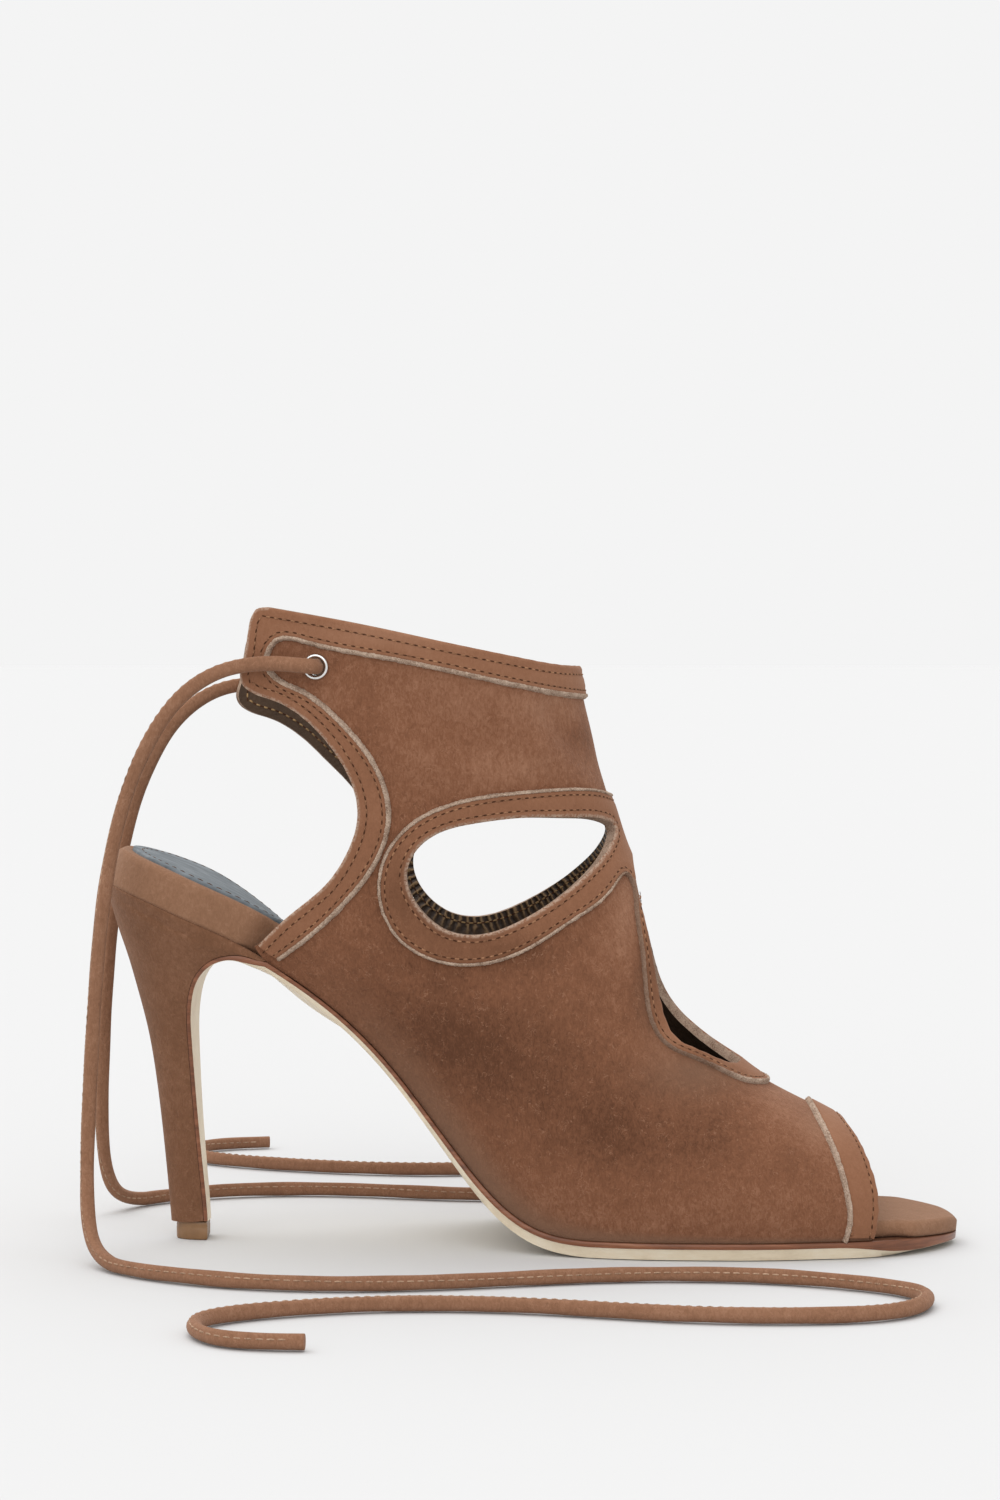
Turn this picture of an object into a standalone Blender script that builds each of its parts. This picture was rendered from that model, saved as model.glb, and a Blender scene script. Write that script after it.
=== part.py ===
"""A left heeled sandal boot in suede: open toe, open back, cut-out sides and throat, ankle ties.

Frame: +X towards the toe, +Z up, the floor at z = 0, the wearer's inner side at -Y.
Sizes in the tables are millimetres, and MM turns them into the scene's metres.
"""

import math

import bmesh
import bpy
import numpy as np
from mathutils import Vector, geometry

MM = 0.001

# Driving sizes.
HEEL_END_X = -108.6
TOE_END_X = 108.6
OUTSOLE_THICK = 4.3
WAIST_THICK = 2.1
BREAST_THICK = 1.1
TOE_THICK = 2.0
SOLE_EDGE_BAND = 1.4
SOLE_EDGE_STEP = 0.4
SOLE_BEVEL = 1.8
SOLE_MARGIN = 0.4
GAP = 0.3
UPPER_WALL = 1.8
UPPER_INSET = 0.6
TRIM_THICK = 1.0
TRIM_BASE = 0.88
FOOTBED_HEEL = 9.7
FOOTBED_TOE = 4.1
FOOTBED_ROUND = 2.2
TOE_TIP_ROUND = 4.6
SOCK_THICK = 0.6
SOCK_INSET = 3.2
SOCK_FRONT_X = 46.0
TIP_HEIGHT = 4.2
TIE_RADIUS = 2.0
EYELET_AT = (-53.5, 147.0)
EYELET_PROFILE = (
    (2.15, 1.0),
    (3.2, 1.0),
    (3.2, 0.45),
    (2.5, 0.45),
    (2.5, -2.2),
    (3.0, -2.2),
    (3.0, -2.7),
    (2.15, -2.7),
)

# The tread lies flat on the floor between these two places along the shoe.
TREAD_REAR_X = 14.0
TREAD_FRONT_X = 84.0
TOE_SPRING = -1.3
WAIST_ROLL = 8.0
WAIST_ROLL_X = -57.0
WAIST_ROLL_REACH = 34.0
TWIST_GAP = 0.02

# Plan outline of the sole, with its ends rounded by a formula.
OUTLINE_COLUMNS = ("x", "centre_y", "half_width")
OUTLINE_ROWS = (
    (-108.6, 0.0, 25.2),
    (-84.0, 0.0, 25.2),
    (-66.0, 0.6, 24.2),
    (-50.0, 1.8, 23.2),
    (-36.0, 2.8, 23.0),
    (-20.0, 3.2, 25.0),
    (-6.0, 2.8, 29.0),
    (8.0, 2.0, 33.2),
    (22.0, 1.0, 36.2),
    (42.0, -0.6, 36.6),
    (60.0, -2.4, 34.6),
    (76.0, -4.0, 30.6),
    (108.6, -6.4, 27.0),
)
HEEL_ROUND = 24.6
TOE_ROUND = 32.6
TOE_POINT = 1.55

# Height of the line where upper and footbed meet the outsole, from the tread up to the seat.
FEATHER_COLUMNS = ("x", "rise")
FEATHER_ROWS = (
    (-108.6, 87.5),
    (-88.0, 79.4),
    (-72.0, 69.75),
    (-60.0, 60.4),
    (-48.0, 51.6),
    (-33.0, 38.2),
    (-18.0, 19.4),
    (-8.0, 8.2),
    (2.0, 1.9),
    (TREAD_REAR_X, 0.0),
)

# Sections of the upper, from the toe to the collar. In side view each is a line from the edge of the
# sole, or from behind the open back, to the front profile. A base_z of None lies on the feather line.
SECTION_COLUMNS = (
    "base_x",
    "base_z",
    "base_half",
    "ridge_x",
    "ridge_z",
    "ridge_y",
    "inner",
    "outer",
    "widest",
)
SECTION_ROWS = (
    (93.0, None, None, 89.6, 25.4, -6.5, 31.2, 18.6, 0.14),
    (85.0, None, None, 79.0, 31.4, -6.2, 32.8, 23.8, 0.14),
    (74.0, None, None, 70.6, 35.8, -5.8, 35.6, 28.6, 0.15),
    (60.0, None, None, 61.6, 40.4, -5.3, 37.6, 33.2, 0.16),
    (41.0, None, None, 53.0, 46.4, -4.7, 38.0, 36.8, 0.18),
    (22.0, None, None, 45.6, 54.4, -4.0, 36.6, 38.0, 0.22),
    (6.0, None, None, 39.8, 63.8, -3.2, 34.6, 36.8, 0.28),
    (-8.0, None, None, 35.4, 73.8, -2.4, 33.2, 34.8, 0.34),
    (-22.0, None, None, 31.6, 83.8, -1.6, 32.2, 33.2, 0.39),
    (-38.0, None, None, 27.6, 93.0, -0.9, 31.6, 32.2, 0.43),
    (-53.0, None, None, 23.8, 101.4, -0.4, 31.4, 31.8, 0.46),
    (-67.0, None, None, 21.0, 110.0, 0.0, 31.6, 31.8, 0.48),
    (-76.0, 96.0, 24.0, 18.2, 118.8, 0.0, 32.0, 32.2, 0.50),
    (-79.0, 116.0, 23.5, 16.0, 128.2, 0.0, 32.6, 32.6, 0.51),
    (-79.0, 138.0, 23.5, 13.8, 137.2, 0.0, 33.0, 33.0, 0.52),
    (-77.0, 164.5, 24.0, 11.7, 147.4, 0.0, 33.4, 33.4, 0.52),
)
QUARTER_PLACE = 11
WIDEST_AT = 0.6
ROUNDNESS = 2.15

# Edges of the upper in side view, as x and z on the inner side.
REAR_EDGE = (
    (-68.4, 77.4),
    (-60.0, 85.4),
    (-51.3, 92.8),
    (-45.6, 101.4),
    (-43.2, 110.0),
    (-44.3, 117.2),
    (-48.4, 125.2),
    (-55.0, 132.9),
    (-64.0, 138.6),
    (-70.6, 141.3),
    (-72.2, 143.2),
    (-71.4, 149.0),
    (-69.6, 159.2),
    (-68.4, 161.2),
    (-65.6, 161.8),
)
COLLAR_EDGE = (
    (-65.6, 161.8),
    (-42.6, 157.6),
    (-20.0, 152.8),
    (-2.0, 149.0),
    (8.6, 147.2),
    (11.8, 147.0),
)
SIDE_CUTOUT = (
    (-31.0, 95.6),
    (-28.9, 101.2),
    (-23.6, 105.6),
    (-14.0, 108.2),
    (-2.0, 109.4),
    (10.0, 109.2),
    (18.0, 108.2),
    (20.6, 106.6),
    (19.6, 102.0),
    (15.0, 96.4),
    (6.4, 89.4),
    (-3.6, 83.6),
    (-13.0, 80.6),
    (-21.0, 81.6),
    (-27.6, 86.8),
)
TOE_EDGE = ((84.8, 5.2), (85.8, 11.4), (85.6, 17.0), (83.8, 23.4), (81.4, 28.4), (79.0, 31.4))

# The throat opening, as its widths inwards and outwards at heights along the front profile.
THROAT_COLUMNS = ("ridge_z", "inner", "outer")
THROAT_ROWS = (
    (98.0, 0.0, 0.0),
    (96.6, 5.0, 5.0),
    (92.6, 9.4, 9.0),
    (86.0, 13.2, 12.2),
    (77.0, 17.0, 15.2),
    (69.2, 20.6, 17.2),
    (64.8, 22.2, 17.4),
    (61.0, 22.2, 17.0),
    (57.0, 20.4, 15.8),
    (52.6, 17.6, 13.4),
    (48.8, 13.6, 9.2),
    (46.8, 7.0, 4.6),
    (46.2, 0.0, 0.0),
)

# Inner lines of the trim bands, in side view on the inner side.
TOE_TRIM_LINE = ((77.6, 4.8), (78.8, 9.6), (78.2, 16.0), (76.4, 23.2), (73.8, 29.8), (70.9, 35.6))
COLLAR_TRIM_LINE = (
    (-63.4, 74.2),
    (-53.8, 81.6),
    (-46.2, 89.1),
    (-39.6, 97.6),
    (-36.0, 107.0),
    (-36.4, 115.6),
    (-40.0, 124.0),
    (-48.0, 133.6),
    (-57.6, 141.0),
    (-63.8, 144.2),
    (-65.8, 147.0),
    (-65.2, 151.6),
    (-63.2, 153.8),
    (-56.0, 153.4),
    (-36.0, 149.4),
    (-14.0, 144.8),
    (4.0, 140.9),
    (11.8, 139.6),
    (13.3, 139.4),
)
CUTOUT_TRIM_LINE = (
    (19.8, 113.6),
    (18.8, 114.2),
    (14.0, 115.6),
    (2.0, 115.8),
    (-10.0, 114.8),
    (-21.0, 112.4),
    (-30.4, 107.4),
    (-36.4, 99.4),
    (-37.6, 90.0),
    (-33.6, 80.6),
    (-25.0, 74.8),
    (-13.6, 73.4),
    (-1.6, 77.0),
    (11.0, 84.6),
    (20.4, 92.0),
    (23.4, 94.6),
    (24.8, 93.2),
    (26.2, 86.0),
    (27.6, 75.6),
    (28.6, 65.4),
    (30.0, 58.6),
    (33.2, 53.0),
    (40.0, 49.0),
    (46.6, 45.8),
    (54.0, 42.4),
    (60.2, 41.2),
)

# The outer flap of the collar hangs a little lower and further back than the inner one.
FLAP_DROP = 5.4
FLAP_BACK = 4.8

# The heel in side view, from the seat to the tip: back edge, breast edge, half width at the breast.
HEEL_COLUMNS = ("back_x", "back_z", "front_x", "front_z", "half_width", "squareness")
HEEL_ROWS = (
    (-108.4, 91.8, -66.2, 69.4, 24.4, 3.4),
    (-108.3, 90.0, -70.6, 71.7, 24.2, 3.2),
    (-108.0, 88.0, -75.0, 73.0, 23.6, 3.0),
    (-107.2, 85.0, -79.8, 72.7, 22.0, 2.7),
    (-105.6, 79.6, -83.8, 70.1, 19.4, 2.5),
    (-103.2, 72.4, -86.4, 65.2, 16.4, 2.3),
    (-100.4, 62.4, -87.4, 58.1, 13.2, 2.2),
    (-97.5, 49.8, -87.2, 49.0, 10.2, 2.1),
    (-94.9, 30.4, -86.0, 30.2, 7.2, 2.0),
    (-93.1, 12.0, -84.4, 12.0, 5.4, 2.0),
    (-92.5, 4.6, -83.9, 4.6, 5.0, 2.0),
)
SEAT_FRONT_X = -66.2
BREAST_FROM = 0.6
TIP_BACK_X = -91.2
TIP_FRONT_X = -82.9
TIP_HALF = 4.5

# Spacing of the mesh.
EDGE_STEP = 4.6
FINE_STEP = 0.4
SECTION_STEP = 0.42
GIRTH_STEP = 0.068
SOLE_STATIONS = 56
HEEL_RING = 17
HEEL_PLACES = np.linspace(0, len(HEEL_ROWS) - 1, 3 * len(HEEL_ROWS) - 2)
EYELET_SIDES = 14

# Routes of the ties from their eyelets to the floor, as points of a smooth curve.
TIE_ROUTES = {
    "tie_inner": (
        (-54.2, -34.5, 147.0),
        (-61.0, -33.8, 147.6),
        (-68.5, -31.8, 147.6),
        (-76.0, -29.8, 146.2),
        (-86.0, -27.6, 140.6),
        (-95.0, -26.2, 129.0),
        (-102.0, -26.0, 112.0),
        (-106.5, -27.0, 90.0),
        (-109.0, -28.2, 62.0),
        (-110.2, -29.4, 38.0),
        (-110.4, -32.4, 19.0),
        (-108.4, -40.0, 6.6),
        (-102.0, -52.0, 2.2),
        (-90.0, -63.6, 2.1),
        (-70.0, -74.0, 2.1),
        (-42.0, -78.0, 2.1),
        (-12.0, -73.0, 2.1),
        (18.0, -66.0, 2.1),
        (48.0, -66.0, 2.1),
        (74.0, -75.0, 2.1),
        (90.0, -92.0, 2.1),
        (84.0, -110.0, 2.1),
        (60.0, -118.0, 2.1),
        (30.0, -115.0, 2.1),
        (0.0, -106.0, 2.1),
        (-30.0, -103.0, 2.1),
        (-58.0, -110.0, 2.1),
        (-75.0, -125.0, 2.1),
        (-70.0, -142.0, 2.1),
        (-50.0, -148.0, 2.1),
    ),
    "tie_outer": (
        (-59.2, 33.6, 141.8),
        (-66.0, 32.2, 142.2),
        (-73.5, 30.2, 142.2),
        (-81.0, 28.0, 141.0),
        (-90.5, 26.2, 135.5),
        (-99.0, 25.2, 124.0),
        (-105.5, 25.4, 107.0),
        (-110.0, 26.5, 84.0),
        (-112.4, 27.8, 58.0),
        (-113.6, 29.4, 36.0),
        (-113.6, 32.6, 18.0),
        (-111.4, 40.0, 6.4),
        (-105.0, 50.6, 2.2),
        (-92.0, 61.0, 2.1),
        (-70.0, 68.0, 2.1),
        (-44.0, 66.0, 2.1),
        (-18.0, 60.0, 2.1),
        (10.0, 62.0, 2.1),
        (38.0, 72.0, 2.1),
        (62.0, 86.0, 2.1),
        (70.0, 104.0, 2.1),
        (56.0, 118.0, 2.1),
        (30.0, 120.0, 2.1),
        (2.0, 112.0, 2.1),
        (-26.0, 106.0, 2.1),
        (-54.0, 110.0, 2.1),
        (-80.0, 120.0, 2.1),
        (-98.0, 136.0, 2.1),
        (-96.0, 154.0, 2.1),
        (-78.0, 162.0, 2.1),
    ),
}

COLOURS = {
    "suede": ((0.245, 0.118, 0.062), 0.9, 0.0),
    "trim": ((0.275, 0.135, 0.072), 0.8, 0.0),
    "sole": ((0.56, 0.45, 0.30), 0.55, 0.0),
    "sock": ((0.26, 0.29, 0.31), 0.5, 0.0),
    "tip": ((0.20, 0.115, 0.055), 0.45, 0.0),
    "metal": ((0.78, 0.78, 0.76), 0.2, 1.0),
}


def column(columns, rows, name):
    """One named column of a table as an array."""
    place = columns.index(name)
    return np.array([row[place] for row in rows], float)


def spline(at, knots, values):
    """A natural cubic curve through values at rising knots, straight beyond its ends."""
    at = np.asarray(at, float)
    knots = np.asarray(knots, float)
    values = np.asarray(values, float)
    step = np.diff(knots)
    slope = np.diff(values) / step
    size = len(knots)
    system = np.eye(size)
    right = np.zeros(size)
    for i in range(1, size - 1):
        system[i, i - 1 : i + 2] = step[i - 1], 2 * (step[i - 1] + step[i]), step[i]
        right[i] = 6 * (slope[i] - slope[i - 1])
    bend = np.linalg.solve(system, right)
    inside = np.clip(at, knots[0], knots[-1])
    i = np.clip(np.searchsorted(knots, inside, side="right") - 1, 0, size - 2)
    after = inside - knots[i]
    first = slope[i] - step[i] * (2 * bend[i] + bend[i + 1]) / 6
    third = (bend[i + 1] - bend[i]) / (6 * step[i])
    read = values[i] + after * (first + after * (bend[i] / 2 + after * third))
    end_slope = first + after * (bend[i] + 3 * after * third)
    return read + (at - inside) * end_slope


def smooth_step(value, start, end):
    """0 at start and 1 at end, level at both."""
    share = np.clip((value - start) / (end - start), 0, 1)
    return share * share * (3 - 2 * share)


def curve_through(points, step):
    """Points about step apart on a smooth curve through the given points."""
    points = np.asarray(points, float)
    along = np.concatenate([[0], np.cumsum(np.linalg.norm(np.diff(points, axis=0), axis=1))])
    count = max(2, int(round(along[-1] / step)) + 1)
    at = np.linspace(0, along[-1], count)
    return np.stack([spline(at, along, points[:, k]) for k in range(points.shape[1])], axis=1)


def closed_curve_through(points, step):
    """As curve_through, for a closed outline, whose first point isn't repeated."""
    points = np.asarray(points, float)
    overlap = 3
    wrapped = np.concatenate([points[-overlap:], points, points[: overlap + 1]])
    along = np.concatenate([[0], np.cumsum(np.linalg.norm(np.diff(wrapped, axis=0), axis=1))])
    start, end = along[overlap], along[overlap + len(points)]
    at = np.linspace(start, end, int(round((end - start) / step)) + 1)[:-1]
    return np.stack([spline(at, along, wrapped[:, k]) for k in range(points.shape[1])], axis=1)


def read_table(columns, rows, name, x):
    """A named column of a table at the places x along the shoe."""
    return spline(x, column(columns, rows, "x"), column(columns, rows, name))


def centre_y(x):
    return read_table(OUTLINE_COLUMNS, OUTLINE_ROWS, "centre_y", x)


def half_width(x, inset=0.0):
    """Half the sole's width at x, with a round heel and an almond toe, as if drawn in by an inset."""
    x = np.asarray(x, float)
    wide = read_table(OUTLINE_COLUMNS, OUTLINE_ROWS, "half_width", x)
    back = np.clip((HEEL_END_X + HEEL_ROUND - x) / (HEEL_ROUND - inset), 0, 1)
    front = np.clip((x - TOE_END_X + TOE_ROUND) / (TOE_ROUND - inset), 0, 1)
    return (wide - inset) * np.sqrt(1 - back**2) * (1 - front**2) ** (1 / TOE_POINT)


def feather_z(x):
    """Height of the feather line on the shoe's middle."""
    x = np.asarray(x, float)
    arch = read_table(FEATHER_COLUMNS, FEATHER_ROWS, "rise", x)
    spring = TOE_SPRING * (np.clip(x - TREAD_FRONT_X, 0, None) / (TOE_END_X - TREAD_FRONT_X)) ** 2
    return OUTSOLE_THICK + GAP + np.where(x < TREAD_REAR_X, arch, 0) + spring


def waist_roll(x):
    """How much higher the inner edge of the sole is than the outer one."""
    share = np.clip((np.asarray(x, float) - WAIST_ROLL_X) / WAIST_ROLL_REACH, -1, 1)
    return WAIST_ROLL * np.cos(share * math.pi / 2) ** 2


def feather_normal(x):
    """Unit vectors in side view, square to the feather line and upwards."""
    reach = 0.5
    slope = (feather_z(x + reach) - feather_z(x - reach)) / (2 * reach)
    size = np.sqrt(1 + slope**2)
    return -slope / size, 1 / size


def above_feather(x, y, height):
    """Points at a height over the underside of the footbed, at x along it and y across it."""
    x, y, height = np.broadcast_arrays(*(np.asarray(q, float) for q in (x, y, height)))
    across = (y - centre_y(x)) / np.maximum(half_width(x), 1.0)
    normal_x, normal_z = feather_normal(x)
    z = feather_z(x) - waist_roll(x) / 2 * np.clip(across, -1, 1)
    return np.stack([x + normal_x * height, y, z + normal_z * height], axis=-1)


def section_table():
    """The columns of the upper's sections, with what follows from the sole filled in."""
    table = {name: [row[i] for row in SECTION_ROWS] for i, name in enumerate(SECTION_COLUMNS)}
    table["inner_base"], table["outer_base"] = [], []
    table["inner_z"], table["outer_z"] = [], []
    for x, z, half in zip(table["base_x"], table["base_z"], table["base_half"]):
        roll = float(waist_roll(x)) / 2 if z is None else 0.0
        level = float(feather_z(x)) if z is None else z
        middle = float(centre_y(x)) if half is None else 0.0
        wide = float(half_width(x)) - UPPER_INSET if half is None else half
        table["inner_base"].append(wide - middle)
        table["outer_base"].append(wide + middle)
        table["inner_z"].append(level + roll)
        table["outer_z"].append(level - roll)
    return {name: values for name, values in table.items() if name not in ("base_z", "base_half")}


SECTIONS = section_table()
SECTION_COUNT = len(SECTION_ROWS)


def section(s):
    """Every column of the section table at the places s. Over the sole, the base follows the sole."""
    places = np.arange(SECTION_COUNT)
    row = {name: spline(s, places, values) for name, values in SECTIONS.items()}
    x = row["base_x"]
    wide, level, roll = half_width(x) - UPPER_INSET, feather_z(x), waist_roll(x) / 2
    on_sole = {
        "inner_base": wide - centre_y(x),
        "outer_base": wide + centre_y(x),
        "inner_z": level + roll,
        "outer_z": level - roll,
    }
    share = smooth_step(s, QUARTER_PLACE + 0.6, QUARTER_PLACE - 0.6)
    for name, values in on_sole.items():
        row[name] = row[name] + (values - row[name]) * share
    return row


def upper_point(s, v):
    """Points of the upper's outside. s runs from toe to collar, v from -1 inside to 1 outside."""
    s, v = np.broadcast_arrays(np.asarray(s, float), np.asarray(v, float))
    row = section(s)
    outer = v > 0
    away = np.abs(v)
    rise = (1 - np.clip(away / WIDEST_AT, 0, 1)) * math.pi / 2
    low = np.clip((away - WIDEST_AT) / (1 - WIDEST_AT), 0, None)
    above = row["widest"] + (1 - row["widest"]) * np.sin(rise)
    t = np.where(away <= WIDEST_AT, above, row["widest"] * (1 - low))
    wide = np.where(outer, row["outer"], -row["inner"])
    base = np.where(outer, row["outer_base"], -row["inner_base"])
    spread = np.sqrt(np.clip(1 - np.sin(rise) ** ROUNDNESS, 0, None))
    crown = row["ridge_y"] + (wide - row["ridge_y"]) * spread
    y = np.where(away <= WIDEST_AT, crown, wide + (base - wide) * low**2)
    base_z = np.where(outer, row["outer_z"], row["inner_z"])
    x = row["base_x"] + t * (row["ridge_x"] - row["base_x"])
    z = base_z + t * (row["ridge_z"] - base_z)
    return np.stack([x, y, z], axis=-1)


def upper_normal(s, v):
    """Unit vectors square to the upper and outwards."""
    reach = 0.004
    along = upper_point(s + reach, v) - upper_point(s - reach, v)
    around = upper_point(s, v + reach) - upper_point(s, v - reach)
    square = np.cross(around, along)
    return square / np.linalg.norm(square, axis=-1, keepdims=True)


def side_to_surface(points, outer):
    """The (s, v) of points given in side view, on the outer or the inner side."""
    points = np.asarray(points, float)
    places = np.linspace(-0.6, SECTION_COUNT - 0.4, 1200)
    row = section(places)
    base_z = row["outer_z"] if outer else row["inner_z"]
    run_x, run_z = row["ridge_x"] - row["base_x"], row["ridge_z"] - base_z
    found = []
    for x, z in points:
        cross = run_x * (z - base_z) - run_z * (x - row["base_x"])
        turns = np.flatnonzero(np.signbit(cross[:-1]) != np.signbit(cross[1:]))
        t = ((x - row["base_x"]) * run_x + (z - base_z) * run_z) / (run_x**2 + run_z**2)
        i = min(turns, key=lambda k: abs(t[k] - 0.5))
        share = cross[i] / (cross[i] - cross[i + 1])
        place = places[i] + share * (places[i + 1] - places[i])
        along = t[i] + share * (t[i + 1] - t[i])
        widest = row["widest"][i] + share * (row["widest"][i + 1] - row["widest"][i])
        if along >= widest:
            rise = math.asin(min(1.0, (along - widest) / (1 - widest)))
            away = WIDEST_AT * (1 - rise * 2 / math.pi)
        else:
            away = WIDEST_AT + (1 - WIDEST_AT) * (1 - along / widest)
        found.append((place, away if outer else -away))
    return np.array(found)


def on_side(points, outer):
    """Side view points with the outer flap's drop, for the outer side."""
    points = np.array(points, float)
    if outer:
        share = smooth_step(points[:, 1], 100.0, 130.0) * smooth_step(points[:, 0], 12.0, -60.0)
        by_sole = smooth_step(points[:, 1], 100.0, 78.0)
        points[:, 1] -= FLAP_DROP * share + waist_roll(points[:, 0]) * by_sole
        points[:, 0] -= FLAP_BACK * share
    return points


def respace(line, step=EDGE_STEP):
    """The same line in (s, v), with its points about step apart on the upper."""
    length = np.linalg.norm(np.diff(upper_point(line[:, 0], line[:, 1]), axis=0), axis=1)
    along = np.concatenate([[0], np.cumsum(length)])
    at = np.linspace(0, along[-1], max(2, int(round(along[-1] / step)) + 1))
    return np.stack([np.interp(at, along, line[:, 0]), np.interp(at, along, line[:, 1])], axis=1)


def fine_line(points, outer):
    """A smooth line through side view points, as close points in (s, v) on one side of the upper."""
    return side_to_surface(on_side(curve_through(points, FINE_STEP), outer), outer)


def edge_line(points, outer):
    return respace(fine_line(points, outer))


def base_line(s_from, s_to, outer, away=1.0):
    """A line along the sole at a share of the way from the front profile to the feather line."""
    count = max(2, int(abs(s_to - s_from) / SECTION_STEP) + 1)
    s = np.linspace(s_from, s_to, count)
    return np.stack([s, np.full(count, away if outer else -away)], axis=1)


def both_sides(points):
    """A line from the inner side over the front to the outer side. Its side view ends on the front."""
    inner, outer = fine_line(points, False), fine_line(points, True)
    inner[-1, 1] = outer[-1, 1] = 0.0
    return np.concatenate([respace(inner)[:-1], respace(outer)[::-1]])


def cutout_loop(outer):
    loop = side_to_surface(on_side(closed_curve_through(SIDE_CUTOUT, FINE_STEP), outer), outer)
    return respace(np.concatenate([loop, loop[:1]]))[:-1]


def throat_loop():
    """The throat opening in (s, v), down its inner side and up its outer side."""
    way = dict(zip(THROAT_COLUMNS, curve_through(np.array(THROAT_ROWS), FINE_STEP).T))
    places = np.linspace(0, SECTION_COUNT - 1, 1200)
    s = np.interp(way["ridge_z"], section(places)["ridge_z"], places)
    row = section(s)
    loop = []
    for side, name in ((-1, "inner"), (1, "outer")):
        share = np.clip(way[name] * 2 / (row["inner"] + row["outer"]), 0, 1)
        rise = np.arcsin((1 - share**2) ** (1 / ROUNDNESS))
        line = np.stack([s, side * WIDEST_AT * (1 - rise * 2 / math.pi)], axis=1)
        loop.append(respace(line)[:-1] if side < 0 else respace(line)[:0:-1])
    return np.concatenate(loop)


def upper_outline():
    """The whole edge of the upper in (s, v): toe, sole, open back and collar."""
    toe = both_sides(TOE_EDGE)
    rear_inner, rear_outer = edge_line(REAR_EDGE, False), edge_line(REAR_EDGE, True)
    collar = both_sides(COLLAR_EDGE)
    inner_base = base_line(rear_inner[0, 0], toe[0, 0], False)
    outer_base = base_line(toe[-1, 0], rear_outer[0, 0], True)
    back_down = [rear_outer[1:-1], collar[::-1], rear_inner[-2:0:-1]]
    return np.concatenate([toe[:-1], outer_base, *back_down, inner_base[:-1]])


def eyelet_hole(outer, radius=2.85, sides=12):
    """A round hole in (s, v) for an eyelet."""
    turn = np.arange(sides) * 2 * math.pi / sides
    middle = on_side([EYELET_AT], outer)[0]
    ring = middle + radius * np.stack([np.cos(turn), np.sin(turn)], axis=1)
    return side_to_surface(ring, outer)


def inside(points, loop):
    """Which of the points lie inside a closed loop, by counting the edges to one side."""
    x, y = points[:, 0:1], points[:, 1:2]
    ax, ay = loop[:, 0], loop[:, 1]
    bx, by = np.roll(ax, -1), np.roll(ay, -1)
    spans = (ay > y) != (by > y)
    rise = np.where(by == ay, 1.0, by - ay)
    hits = spans & (x < (bx - ax) * (y - ay) / rise + ax)
    return hits.sum(axis=1) % 2 == 1


def within(points, outline, holes=()):
    """Which of the points lie inside an outline and outside its holes."""
    keep = inside(points, outline)
    for hole in holes:
        keep &= ~inside(points, hole)
    return keep


def fill_region(outline, holes, lines):
    """Triangles in (s, v) that fill an outline round its holes, with edges along closed lines."""
    loops = [outline, *holes, *lines]
    scale = np.array([1 / SECTION_STEP, 1 / GIRTH_STEP])
    edge_points = np.concatenate(loops) * scale
    low, high = outline.min(axis=0), outline.max(axis=0)
    grid = []
    for i, s in enumerate(np.arange(low[0], high[0], SECTION_STEP)):
        shift = GIRTH_STEP / 2 * (i % 2)
        grid += [(s, v) for v in np.arange(low[1] - shift, high[1] + GIRTH_STEP, GIRTH_STEP)]
    grid = np.array(grid)
    distance = np.linalg.norm(grid[:, None] * scale - edge_points[None], axis=2).min(axis=1)
    grid = grid[within(grid, outline, holes) & (distance > 0.55)]
    points = [Vector(p) for p in edge_points] + [Vector(p) for p in grid * scale]
    edges, first = [], 0
    for loop in loops:
        size = len(loop)
        edges += [(first + i, first + (i + 1) % size) for i in range(size)]
        first += size
    made = geometry.delaunay_2d_cdt(points, edges, [], 0, 1e-6)
    places = np.array([tuple(p) for p in made[0]]) / scale
    faces = np.array(made[2])
    return part_of((places, faces[:, ::-1]), outline, holes)


def part_of(region, outline, holes=()):
    """The triangles of a region that lie inside an outline and outside its holes."""
    places, faces = region
    kept = faces[within(places[faces].mean(axis=1), outline, holes)]
    used, renumbered = np.unique(kept, return_inverse=True)
    return places[used], renumbered.reshape(kept.shape)


def material(name):
    made = bpy.data.materials.get(name)
    if made is None:
        colour, roughness, metallic = COLOURS[name]
        made = bpy.data.materials.new(name)
        made.use_nodes = True
        shader = made.node_tree.nodes["Principled BSDF"]
        shader.inputs["Base Color"].default_value = (*colour, 1.0)
        shader.inputs["Roughness"].default_value = roughness
        shader.inputs["Metallic"].default_value = metallic
    return made


def add_object(name, data, finish, collection):
    obj = bpy.data.objects.new(name, data)
    obj.data.materials.append(material(finish))
    collection.objects.link(obj)
    return obj


def mesh_of(name, points, faces):
    """A smooth mesh, in metres, from points in millimetres."""
    mesh = bpy.data.meshes.new(name)
    mesh.from_pydata((np.asarray(points) * MM).tolist(), [], [list(map(int, f)) for f in faces])
    mesh.update()
    mesh.shade_smooth()
    mesh.set_sharp_from_angle(angle=math.radians(40))
    return mesh


def shell(name, region, offset, thickness, finish, collection):
    """A sheet of the upper's form, its inner face at an offset from the upper's outside."""
    places, faces = region
    points = upper_point(places[:, 0], places[:, 1])
    points = points + (offset + thickness) * upper_normal(places[:, 0], places[:, 1])
    obj = add_object(name, mesh_of(name, points, faces), finish, collection)
    wall = obj.modifiers.new("wall", "SOLIDIFY")
    wall.thickness = thickness * MM
    wall.offset = -1.0
    return obj


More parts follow.
